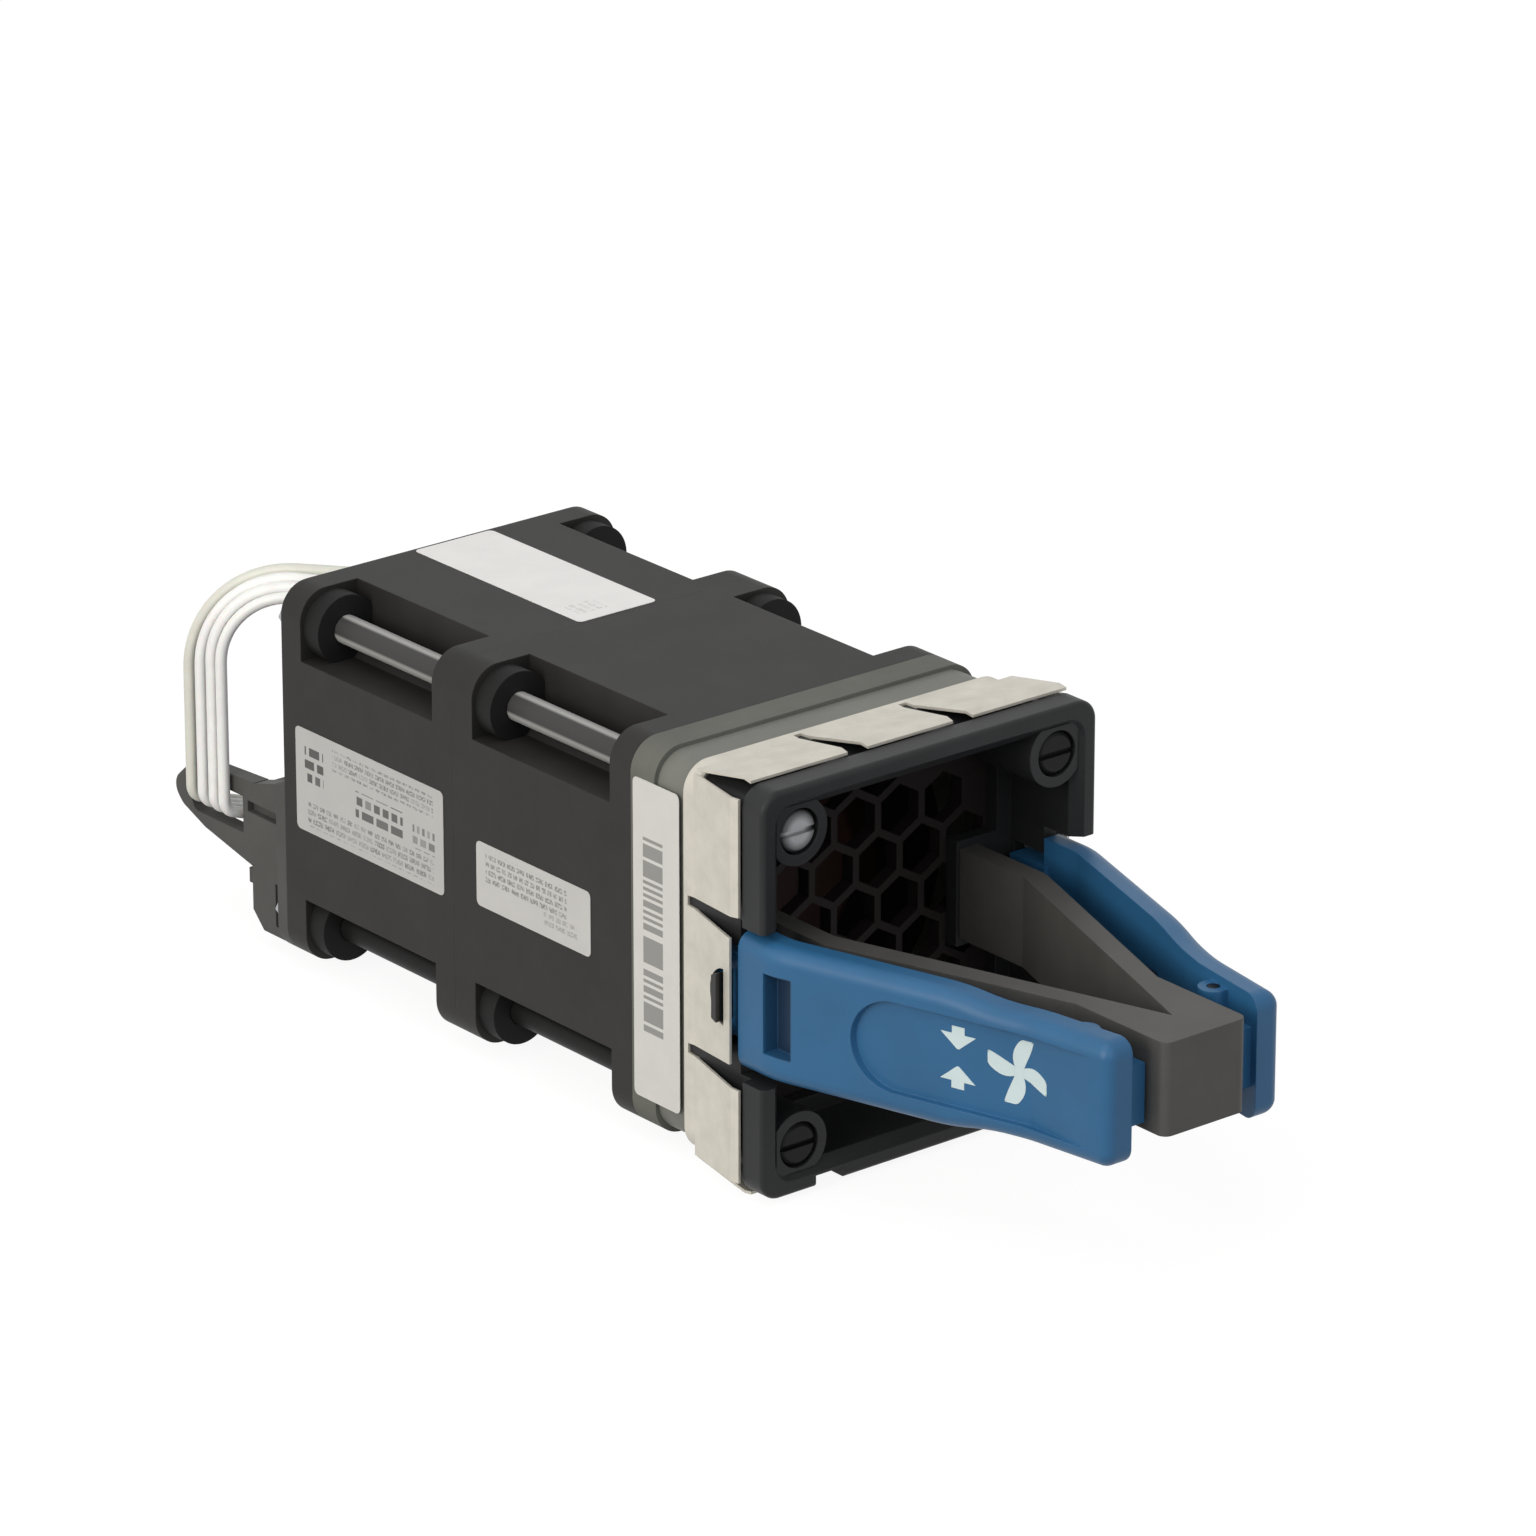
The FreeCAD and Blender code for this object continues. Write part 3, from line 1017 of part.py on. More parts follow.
# --- leads ----------------------------------------------------------------------------
def lead(index):
    """One lead: strut channel, out at the rear, over in an arc, through the loop, connector."""
    along = strut_direction()
    across = Vector(along.z, 0, -along.x)
    offset = across * (LEAD_PITCH * (index - 1.5))
    y_board = FAN_DEPTH + HUB_BASE_FRONT + LEAD_R
    drop_y = FANS_END + LEAD_DROPS[index]
    inside = along * LEAD_START + offset + Vector(0, y_board, 0)
    outlet = along * (HALF - LEAD_EDGE) + offset + Vector(0, y_board, 0)
    clear = Vector(outlet.x, FANS_END + LEAD_CLEAR, outlet.z)
    over = Vector(LEAD_DROP_X, drop_y, HALF - LEAD_TOP_STEP)
    eye = Vector(LEAD_DROP_X, drop_y, LOOP_MIDDLE - HALF)
    plug = Vector(CONNECTOR_LEFT, drop_y, CONTACT_Z)
    radii = (LEAD_TURN_R, LEAD_SWING_R, LEAD_BENDS[index], LEAD_ENTRY_R)
    path = filleted_path([inside, outlet, clear, over, eye, plug], radii)
    ring = Part.Wire([Part.makeCircle(LEAD_R, inside, along)])
    made = path.makePipeShell([ring], True, False)
    ideal = math.pi * LEAD_R ** 2 * path.Length
    print("lead", index, "length %.1f" % path.Length, "radii", radii,
          "volume/ideal %.4f" % (made.Volume / ideal))
    return made


def save(name, shape):
    """Write one node."""
    solids = shape.Solids
    if not solids or not shape.isValid():
        raise RuntimeError("bad shape: " + name)
    out = solids[0] if len(solids) == 1 else Part.makeCompound(solids)
    out.exportStep("parts/" + name + ".step")
    print(name, len(solids), "%.1f mm3" % out.Volume)


def main():
    os.makedirs("parts", exist_ok=True)
    fans = (("front", 0.0, FRONT_BLADES, 1), ("rear", FAN_DEPTH, REAR_BLADES, -1))
    for label, front, blades, hand in fans:
        save(label + "_fan_casing", casing(front, label == "rear"))
        save(label + "_impeller", impeller(front, blades, hand))
        save(label + "_rotor_cup", rotor_cup(front))
        save(label + "_magnet_ring", magnet(front))
        save(label + "_shaft", shaft(front))
        save(label + "_retaining_ring", retaining_ring(front))
        save(label + "_bearing_tube", bearing_tube(front))
        save(label + "_ball_bearings", bearings(front))
        save(label + "_stator_core", stator_core(front))
        save(label + "_coils", coils(front))
        save(label + "_circuit_board", circuit_board(front))
    save("long_screws", long_screws())
    save("rear_nuts", nuts())
    save("rubber_bushes", bushes())
    save("damping_collar", collar())
    save("adapter_frame", adapter())
    save("honeycomb_grille", grille())
    save("bezel", bezel())
    save("spring_finger_gasket", gasket())
    save("handle_yoke", yoke())
    save("handle_screws", Part.makeCompound([handle_screw(-1), handle_screw(1)]))
    save("hinge_pins", hinge_pins())
    lever = right_lever()
    save("right_lever", lever)
    save("left_lever", mirrored(lever))
    tooth = latch_tooth()
    save("right_latch_tooth", tooth)
    save("left_latch_tooth", mirrored(tooth))
    leaf = right_leaf_spring()
    save("right_leaf_spring", leaf)
    save("left_leaf_spring", mirrored(leaf))
    save("rear_bracket", rear_bracket())
    save("connector_housing", connector_housing())
    save("connector_contacts", contacts())
    save("white_leads", Part.makeCompound([lead(0), lead(1), lead(2)]))
    save("grey_lead", lead(3))


main()
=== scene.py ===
import logging
import math
from dataclasses import dataclass, field
from enum import Enum
from typing import Callable, Optional, Union

import bmesh
import bpy
from mathutils import Matrix, Vector


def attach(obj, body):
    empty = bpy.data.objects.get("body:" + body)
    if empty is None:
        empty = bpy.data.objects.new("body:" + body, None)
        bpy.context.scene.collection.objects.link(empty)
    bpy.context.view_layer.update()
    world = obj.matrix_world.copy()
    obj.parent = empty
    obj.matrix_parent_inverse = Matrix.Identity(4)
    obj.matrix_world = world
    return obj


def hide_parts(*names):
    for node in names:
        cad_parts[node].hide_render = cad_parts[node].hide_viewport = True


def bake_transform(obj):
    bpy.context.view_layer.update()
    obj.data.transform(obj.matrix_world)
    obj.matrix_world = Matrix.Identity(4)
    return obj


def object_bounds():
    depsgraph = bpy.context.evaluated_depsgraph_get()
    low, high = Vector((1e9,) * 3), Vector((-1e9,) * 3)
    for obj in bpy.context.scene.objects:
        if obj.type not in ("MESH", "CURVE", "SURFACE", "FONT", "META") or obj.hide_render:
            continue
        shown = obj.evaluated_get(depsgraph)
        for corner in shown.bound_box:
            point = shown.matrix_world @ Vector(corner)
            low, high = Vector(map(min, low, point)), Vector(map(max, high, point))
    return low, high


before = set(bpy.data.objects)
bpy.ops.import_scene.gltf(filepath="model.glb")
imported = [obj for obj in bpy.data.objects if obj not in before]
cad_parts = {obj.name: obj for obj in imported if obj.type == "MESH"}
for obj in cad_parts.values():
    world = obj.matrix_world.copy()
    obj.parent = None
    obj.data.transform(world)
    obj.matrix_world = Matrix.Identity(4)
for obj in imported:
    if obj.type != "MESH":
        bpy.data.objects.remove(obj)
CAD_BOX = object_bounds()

# Hot-swap server fan module, dressed for rendering. The imported CAD solids are the frame. This
# script gives every solid its finish, adds the labels and the sign on the left lever, and
# cuts the springs behind the levers into short lengths. Blender works in metres. A name that
# ends in _mm, or whose comment says so, is in millimetres, and MM turns millimetres into metres.

log = logging.getLogger("fan_module")

MM = 0.001
EDGE_SAMPLES = 6  # quality of the rounded edges that a finish draws

Pair = tuple[float, float]
Triple = tuple[float, float, float]
RGBA = tuple[float, float, float, float]
Piece = bpy.types.Object
Tree = bpy.types.NodeTree
Socket = bpy.types.NodeSocket
# What can feed a node: a value, a socket, or a node that stands for its first output in use.
Feed = Union[float, tuple[float, ...], bpy.types.Node, Socket]
Inputs = dict[Union[str, int], Feed]


# --- small tools ---
def linear(hex_code: str) -> RGBA:
    """Turn an sRGB hex colour into a linear one.

    Args:
        hex_code: Colour as "#rrggbb".

    Returns:
        Linear red, green, blue and an alpha of one.
    """
    values = [int(hex_code[i:i + 2], 16) / 255 for i in (1, 3, 5)]
    lin = [v / 12.92 if v <= 0.04045 else ((v + 0.055) / 1.055) ** 2.4 for v in values]
    return (lin[0], lin[1], lin[2], 1.0)


def add_node(tree: Tree, kind: str, inputs: Optional[Inputs] = None,
             **settings: object) -> bpy.types.Node:
    """Add one shader node, set it up and link what feeds it.

    Args:
        tree: The node tree.
        kind: Blender's type name of the node, without "ShaderNode".
        inputs: What feeds its input sockets, by their names or numbers.
        **settings: Properties of the node.

    Returns:
        The new node.
    """
    node = tree.nodes.new("ShaderNode" + kind)
    for name, value in settings.items():
        setattr(node, name, value)
    for name, value in (inputs or {}).items():
        if isinstance(value, bpy.types.Node):
            value = next(output for output in value.outputs if output.enabled)
        if isinstance(value, Socket):
            tree.links.new(value, node.inputs[name])
        else:
            node.inputs[name].default_value = value
    return node


def deselect() -> None:
    """Leave edit mode and deselect everything."""
    if bpy.context.object and bpy.context.object.mode != "OBJECT":
        bpy.ops.object.mode_set(mode="OBJECT")
    bpy.ops.object.select_all(action="DESELECT")


def pick(piece: Piece) -> None:
    """Make one object the only selected and active one."""
    deselect()
    piece.select_set(True)
    bpy.context.view_layer.objects.active = piece


def settle(piece: Piece) -> None:
    """Move an object's place, turn and scale into its mesh."""
    pick(piece)
    bpy.ops.object.transform_apply(location=True, rotation=True, scale=True)


def add_blank(width: float, height: float, middle: float) -> Piece:
    """Add a flat blank in X and Y, to be shaped.

    Args:
        width: Size along X.
        height: Size along Y.
        middle: Its middle along Y.

    Returns:
        The blank.
    """
    deselect()
    bpy.ops.mesh.primitive_plane_add(size=1.0, location=(0.0, middle, 0.0))
    blank = bpy.context.object
    blank.scale = (width, height, 1.0)
    settle(blank)
    return blank


def dress(piece: Piece, material: bpy.types.Material) -> None:
    """Give an object one material."""
    piece.data.materials.clear()
    piece.data.materials.append(material)


def finish_with(piece: Piece, kind: str, **settings: object) -> None:
    """Add one modifier and apply it.

    Args:
        piece: Object to change.
        kind: Modifier type.
        **settings: Properties of the modifier.
    """
    pick(piece)
    modifier = piece.modifiers.new(kind.title(), kind)
    for name, value in settings.items():
        setattr(modifier, name, value)
    bpy.ops.object.modifier_apply(modifier=modifier.name)


def select_vertices(piece: Piece, wanted: Callable[..., bool]) -> None:
    """Enter edit mode and select vertices by a test.

    Args:
        piece: Object to edit.
        wanted: Called with each vertex, true for those to select.
    """
    pick(piece)
    bpy.ops.object.mode_set(mode="EDIT")
    bpy.ops.mesh.select_mode(type="VERT")
    bpy.ops.mesh.select_all(action="DESELECT")
    mesh = bmesh.from_edit_mesh(piece.data)
    for vertex in mesh.verts:
        vertex.select_set(wanted(vertex))
    mesh.select_flush_mode()
    bmesh.update_edit_mesh(piece.data)


def join_pieces(pieces: list[Piece], name: str) -> Piece:
    """Join several objects into one.

    Args:
        pieces: Objects to join.
        name: Name of the result.

    Returns:
        The joined object.
    """
    deselect()
    for piece in pieces:
        piece.select_set(True)
    bpy.context.view_layer.objects.active = pieces[0]
    bpy.ops.object.join()
    pieces[0].name = pieces[0].data.name = name
    return pieces[0]


# --- finishes ---
@dataclass(frozen=True)
class Finish:
    """A surface finish: what every finish here has in common.

    Attributes:
        name: Common name of the material.
        colour: Main colour, sRGB hex.
        roughness: Microscopic roughness of the surface.
        spread: How far the brightness goes up and down, as a share.
        patch_mm: Size of the patches in which it does.
    """

    name: str
    colour: str
    roughness: float
    spread: float = 0.10
    patch_mm: float = 6.0

    def pigment(self, tree: Tree, place: Socket) -> Feed:
        """Vary the colour a little from place to place, as real mouldings and coatings do.

        Args:
            tree: The node tree.
            place: Object coordinates.

        Returns:
            The colour.
        """
        base = linear(self.colour)
        dark = tuple(c * (1 - self.spread) for c in base[:3]) + (1.0,)
        light = tuple(min(1.0, c * (1 + self.spread)) for c in base[:3]) + (1.0,)
        noise = add_node(tree, "TexNoise", {
            "Vector": place, "Scale": 1 / (self.patch_mm * MM), "Detail": 4.0, "Roughness": 0.6})
        ramp = add_node(tree, "MapRange", {"Value": noise, "From Min": 0.3, "From Max": 0.7})
        return add_node(tree, "Mix", {"Factor": ramp, "A": dark, "B": light}, data_type="RGBA")

    def surface(self, tree: Tree, place: Socket) -> Inputs:
        """Give what feeds the shader, apart from an even roughness.

        Args:
            tree: The node tree.
            place: Object coordinates.

        Returns:
            Inputs of the shader, by name.
        """
        raise NotImplementedError

    def build(self) -> bpy.types.Material:
        """Make the material.

        Returns:
            The material.
        """
        material = bpy.data.materials.new(self.name)
        material.use_nodes = True
        tree = material.node_tree
        tree.nodes.clear()
        place = add_node(tree, "TexCoord").outputs["Object"]
        surface = {"Roughness": self.roughness, **self.surface(tree, place)}
        shader = add_node(tree, "BsdfPrincipled", surface)
        add_node(tree, "OutputMaterial", {"Surface": shader})
        return material


@dataclass(frozen=True)
class Moulding(Finish):
    """Moulded plastic or rubber: an even colour with the fine texture of an eroded mould.

    Attributes:
        texture_mm: Size of the mould texture. Real texture is about 0.05 mm; it is drawn
            coarser so that it shows.
        texture_depth: Depth of the texture, in millimetres.
        edge_mm: Radius that mould and handling leave on sharp edges.
        ior: Refractive index.
        sheen: Strength of the surface reflection, half for a clean moulding and less where
            the texture of the mould swallows it.
    """

    texture_mm: float = 0.22
    texture_depth: float = 0.012
    edge_mm: float = 0.14
    ior: float = 1.50
    sheen: float = 0.5

    def surface(self, tree: Tree, place: Socket) -> Inputs:
        """Give the patchy colour, the rounded edges and the grain.

        Args:
            tree: The node tree.
            place: Object coordinates.

        Returns:
            Inputs of the shader, by name.
        """
        colour = self.pigment(tree, place)
        edge = add_node(tree, "Bevel", {"Radius": self.edge_mm * MM}, samples=EDGE_SAMPLES)
        grain = add_node(tree, "TexNoise", {
            "Vector": place, "Scale": 1 / (self.texture_mm * MM), "Detail": 2.0})
        bump = add_node(tree, "Bump", {
            "Strength": 0.6, "Distance": self.texture_depth * MM, "Height": grain, "Normal": edge})
        return {"Base Color": colour, "IOR": self.ior, "Specular IOR Level": self.sheen,
                "Normal": bump}


@dataclass(frozen=True)
class LeverMoulding(Moulding):
    """Moulded lever whose recess at the base is painted dark: painted shade in the recess.

    Attributes:
        recess_shade: Colour of the painted shade in the recess, sRGB hex.
        middle_mm: Middle of the recess, measured from the middle plane outwards, along the
            fan axis and upwards.
        reach_mm: The painted shade ends this far from the middle along the same three ways.
        fade_mm: Width of the painted shade's soft edge.
    """

    # Painted shade: a dark blue laid on the floor of the recess at the lever's base.
    recess_shade: str = "#1b3048"
    middle_mm: Triple = (19.2, -22.2, -1.2)
    reach_mm: Triple = (1.25, 1.75, 4.25)
    fade_mm: float = 0.3

    def pigment(self, tree: Tree, place: Socket) -> Feed:
        """Give the patchy blue with the painted shade in the recess.

        Args:
            tree: The node tree.
            place: Object coordinates.

        Returns:
            The colour.
        """
        blue = super().pigment(tree, place)
        axes = add_node(tree, "SeparateXYZ", {"Vector": place})
        outwards = add_node(tree, "Math", {0: axes.outputs["X"]}, operation="ABSOLUTE")
        ways = (outwards, axes.outputs["Y"], axes.outputs["Z"])
        dark: Feed = 1.0
        for way, middle, reach in zip(ways, self.middle_mm, self.reach_mm):
            off = add_node(tree, "Math", {0: way, 1: middle * MM}, operation="SUBTRACT")
            far = add_node(tree, "Math", {0: off}, operation="ABSOLUTE")
            near = add_node(tree, "MapRange", {
                "Value": far, "From Min": reach * MM, "From Max": (reach - self.fade_mm) * MM})
            dark = add_node(tree, "Math", {0: near, 1: dark}, operation="MULTIPLY")
        # Painted shade: the recess is mixed towards a dark blue.
        return add_node(tree, "Mix", data_type="RGBA", inputs={
            "Factor": dark, "A": blue, "B": linear(self.recess_shade)})


@dataclass(frozen=True)
class Sheet(Finish):
    """Rolled or plated metal: brushed along one way, with faint handling marks.

    Attributes:
        metallic: How much of a metal it is. A thick satin plating looks part diffuse.
        brush: Stretch of the brushing along X, Y and Z; the smallest number is its direction.
        brush_mm: Width of the brush lines.
        brush_depth: Depth of the brush lines, in millimetres.
        uneven: How far the brushing takes the roughness up and down, as a share.
        edge_mm: Radius on sharp edges.
    """

    spread: float = 0.08
    patch_mm: float = 3.0
    metallic: float = 1.0
    brush: Triple = (1.0, 0.05, 1.0)
    brush_mm: float = 0.12
    brush_depth: float = 0.006
    uneven: float = 0.2
    edge_mm: float = 0.06

    def surface(self, tree: Tree, place: Socket) -> Inputs:
        """Give the metal's colour, with brushed bump and roughness.

        Args:
            tree: The node tree.
            place: Object coordinates.

        Returns:
            Inputs of the shader, by name.
        """
        colour = self.pigment(tree, place)
        lay = add_node(tree, "Mapping", {"Vector": place, "Scale": self.brush})
        lines = add_node(tree, "TexNoise", {
            "Vector": lay, "Scale": 1 / (self.brush_mm * MM), "Detail": 3.0})
        rough = add_node(tree, "MapRange", {
            "Value": lines, "To Min": self.roughness * (1 - self.uneven),
            "To Max": min(1.0, self.roughness * (1 + self.uneven))})
        edge = add_node(tree, "Bevel", {"Radius": self.edge_mm * MM}, samples=EDGE_SAMPLES)
        bump = add_node(tree, "Bump", {
            "Strength": 0.35, "Distance": self.brush_depth * MM, "Height": lines, "Normal": edge})
        return {"Base Color": colour, "Metallic": self.metallic, "Roughness": rough,
                "Normal": bump}


@dataclass(frozen=True)
class LongScrew(Finish):
    """Phosphated steel screw with a rolled thread at the nut end.

    Two painted highlight lines run along each upper shank, with the dark phosphate left between
    them; the lower shanks, in shade, get none. One upper head has a bright metal middle, a painted
    highlight.

    Attributes:
        highlight_colour: Colour of the painted highlight lines, sRGB hex.
        highlight_floor_share: Share of that colour on the rest of each upper shank, a faint
            painted sheen.
        head_highlight_colour: Colour of the painted highlight on one head, sRGB hex.
        head_highlight_mm: Radius of that painted highlight.
        head_highlight_core: Share of that radius within which the painted highlight is full.
        axis_mm: Distance of the screw axes from the two middle planes.
        radius_mm: Radius of the shank.
        dark_middle: Direction across the axis in which the phosphate is left dark between the
            painted highlights, along X and Z.
        dark_middle_cosine: The phosphate is left unpainted up to this cosine of the angle from
            that direction.
        highlight_cosine: The painted highlight line is full from this cosine on.
        pitch_mm: Thread pitch of an M3 screw.
        thread_depth: Depth of the thread, in millimetres.
        thread_from_mm: The thread starts here along the fan axis.
        head_to_mm: The heads end here along the fan axis.
        draw: Stretch of the drawing marks along X, Y and Z.
        draw_mm: Width of the drawing marks.
        draw_depth: Depth of the drawing marks, in millimetres.
        sheen: Strength of the surface reflection, low on the porous phosphate.
    """

    patch_mm: float = 1.5
    highlight_colour: str = "#adadab"
    highlight_floor_share: float = 0.12
    head_highlight_colour: str = "#b4b6b8"
    head_highlight_mm: float = 2.1
    head_highlight_core: float = 0.5
    axis_mm: float = 16.0
    radius_mm: float = 1.5
    dark_middle: Pair = (-0.85, 0.52)
    dark_middle_cosine: float = 0.84
    highlight_cosine: float = 0.70
    pitch_mm: float = 0.5
    thread_depth: float = 0.12
    thread_from_mm: float = 51.0
    head_to_mm: float = -8.0
    draw: Triple = (1.0, 0.04, 1.0)
    draw_mm: float = 0.10
    draw_depth: float = 0.01
    sheen: float = 0.15

    def ridges(self, tree: Tree, along: Socket) -> Feed:
        """Thread ridges past the start of the thread.

        Args:
            tree: The node tree.
            along: Coordinate along the screw.

        Returns:
            Height of the surface.
        """
        turns = add_node(tree, "Math", {
            0: along, 1: 2 * math.pi / (self.pitch_mm * MM)}, operation="MULTIPLY")
        ridge = add_node(tree, "Math", {0: turns}, operation="SINE")
        begins = add_node(tree, "Math", {
            0: along, 1: self.thread_from_mm * MM}, operation="GREATER_THAN")
        return add_node(tree, "Math", {0: ridge, 1: begins}, operation="MULTIPLY")

    def from_axis(self, tree: Tree, place: Socket) -> Feed:
        """Measure a coordinate along X or Z from the axis of the nearest screw."""
        side = add_node(tree, "Math", {0: place}, operation="SIGN")
        return add_node(tree, "Math", {
            0: side, 1: -self.axis_mm * MM, 2: place}, operation="MULTIPLY_ADD")

    def only_where(self, tree: Tree, axes: bpy.types.Node, share: Feed,
                   *limits: tuple[str, str, float]) -> Feed:
        """Cut a share down to nought outside some limits.

        Args:
            tree: The node tree.
            axes: The coordinates one by one.
            share: What is cut down.
            *limits: Axis, comparison and limiting place of each, in millimetres.

        Returns:
            The share within all the limits and nought elsewhere.
        """
        for axis, comparison, limit_mm in limits:
            test = add_node(tree, "Math", {
                0: axes.outputs[axis], 1: limit_mm * MM}, operation=comparison)
            share = add_node(tree, "Math", {0: test, 1: share}, operation="MULTIPLY")
        return share

    def lines(self, tree: Tree, axes: bpy.types.Node) -> Feed:
        """Mark the two painted highlight lines on each upper shank.

        Args:
            tree: The node tree.
            axes: The coordinates one by one.

        Returns:
            One on a line and nought on the phosphate, the heads and the threads.
        """
        across: Feed = 0.0
        for axis, part in zip("XZ", self.dark_middle):
            across = add_node(tree, "Math", {
                0: self.from_axis(tree, axes.outputs[axis]), 1: part / (self.radius_mm * MM),
                2: across}, operation="MULTIPLY_ADD")
        cosine = add_node(tree, "Math", {0: across}, operation="ABSOLUTE")
        line = add_node(tree, "MapRange", {
            "Value": cosine, "From Min": self.dark_middle_cosine, "From Max": self.highlight_cosine,
            "To Min": self.highlight_floor_share})
        # Painted highlights: only the upper shanks get them; the lower ones are left in shade.
        return self.only_where(
            tree, axes, line, ("Y", "GREATER_THAN", self.head_to_mm),
            ("Y", "LESS_THAN", self.thread_from_mm), ("Z", "GREATER_THAN", 0.0))

    def bright(self, tree: Tree, axes: bpy.types.Node) -> Feed:
        """Pick out the painted highlight in the middle of one head, the upper one on the label
        side.

        Args:
            tree: The node tree.
            axes: The coordinates one by one.

        Returns:
            One in the painted highlight and nought elsewhere.
        """
        offset = add_node(tree, "CombineXYZ", {
            axis: self.from_axis(tree, axes.outputs[axis]) for axis in "XZ"})
        radius = add_node(tree, "VectorMath", {0: offset}, operation="LENGTH")
        head_spot = add_node(tree, "MapRange", {
            "Value": radius, "From Min": self.head_highlight_mm * MM,
            "From Max": self.head_highlight_core * self.head_highlight_mm * MM})
        return self.only_where(
            tree, axes, head_spot, ("Y", "LESS_THAN", self.head_to_mm), ("X", "LESS_THAN", 0.0),
            ("Z", "GREATER_THAN", 0.0))

    def surface(self, tree: Tree, place: Socket) -> Inputs:
        """Give the dark phosphate with painted highlight lines, a thread and a painted highlight
        on one head.

        Args:
            tree: The node tree.
            place: Object coordinates.

        Returns:
            Inputs of the shader, by name.
        """
        steel = self.pigment(tree, place)
        axes = add_node(tree, "SeparateXYZ", {"Vector": place})
        lay = add_node(tree, "Mapping", {"Vector": place, "Scale": self.draw})
        marks = add_node(tree, "TexNoise", {
            "Vector": lay, "Scale": 1 / (self.draw_mm * MM), "Detail": 2.0})
        drawn = add_node(tree, "Bump", {
            "Strength": 0.2, "Distance": self.draw_depth * MM, "Height": marks})
        bump = add_node(tree, "Bump", {
            "Strength": 0.8, "Distance": self.thread_depth * MM,
            "Height": self.ridges(tree, axes.outputs["Y"]), "Normal": drawn})
        # Painted highlights: two light lines along each upper shank.
        highlighted = add_node(tree, "Mix", data_type="RGBA", inputs={
            "Factor": self.lines(tree, axes), "A": steel, "B": linear(self.highlight_colour)})
        # Painted highlight: a bright metal spot in the middle of one upper head.
        bright = self.bright(tree, axes)
        colour = add_node(tree, "Mix", data_type="RGBA", inputs={
            "Factor": bright, "A": highlighted, "B": linear(self.head_highlight_colour)})
        return {"Base Color": colour, "Metallic": bright, "Specular IOR Level": self.sheen,
                "Normal": bump}


@dataclass(frozen=True)
class Stack(Finish):
    """Layered material, such as laminations or a winding: fine lines across the fan axis.

    Attributes:
        second: Colour between the layers, sRGB hex.
        layer_mm: Thickness of a layer. Real laminations are 0.35 mm.
        layer_depth: Depth of the dents between the layers, in millimetres.
        metallic: How much of a metal it is.
    """

    second: str = "#202020"
    layer_mm: float = 0.35
    layer_depth: float = 0.05
    metallic: float = 1.0

    def surface(self, tree: Tree, place: Socket) -> Inputs:
        """Give the bands along Y that darken and dent the surface.

        Args:
            tree: The node tree.
            place: Object coordinates.

        Returns:
            Inputs of the shader, by name.
        """
        axes = add_node(tree, "SeparateXYZ", {"Vector": place})
        turns = add_node(tree, "Math", {
            0: axes.outputs["Y"], 1: 2 * math.pi / (self.layer_mm * MM)}, operation="MULTIPLY")
        band = add_node(tree, "Math", {0: turns}, operation="SINE")
        share = add_node(tree, "MapRange", {"Value": band, "From Min": -1.0, "From Max": 0.2})
        colour = add_node(tree, "Mix", data_type="RGBA", inputs={
            "Factor": share, "A": linear(self.second), "B": linear(self.colour)})
        bump = add_node(tree, "Bump", {
            "Strength": 0.6, "Distance": self.layer_depth * MM, "Height": band})
        return {"Base Color": colour, "Metallic": self.metallic, "Normal": bump}


@dataclass(frozen=True)
class Insulation(Finish):
    """Extruded wire insulation: smooth, a little waxy and faintly uneven.

    Attributes:
        ior: Refractive index.
        depth_share: Share of the light that goes into the plastic and comes out again.
        depth_mm: How far it goes in.
    """

    spread: float = 0.04
    patch_mm: float = 2.0
    ior: float = 1.52
    depth_share: float = 0.15
    depth_mm: float = 0.4

    def surface(self, tree: Tree, place: Socket) -> Inputs:
        """Give the soft plastic that lets a little light in."""
        return {"Base Color": self.pigment(tree, place), "IOR": self.ior,
                "Subsurface Weight": self.depth_share, "Subsurface Scale": self.depth_mm * MM}


# --- print ---
class Side(Enum):
    """Which way a label faces: the axes along its rows of print and across them."""

    LEFT = ("Y", "Z")
    TOP = ("Y", "X")


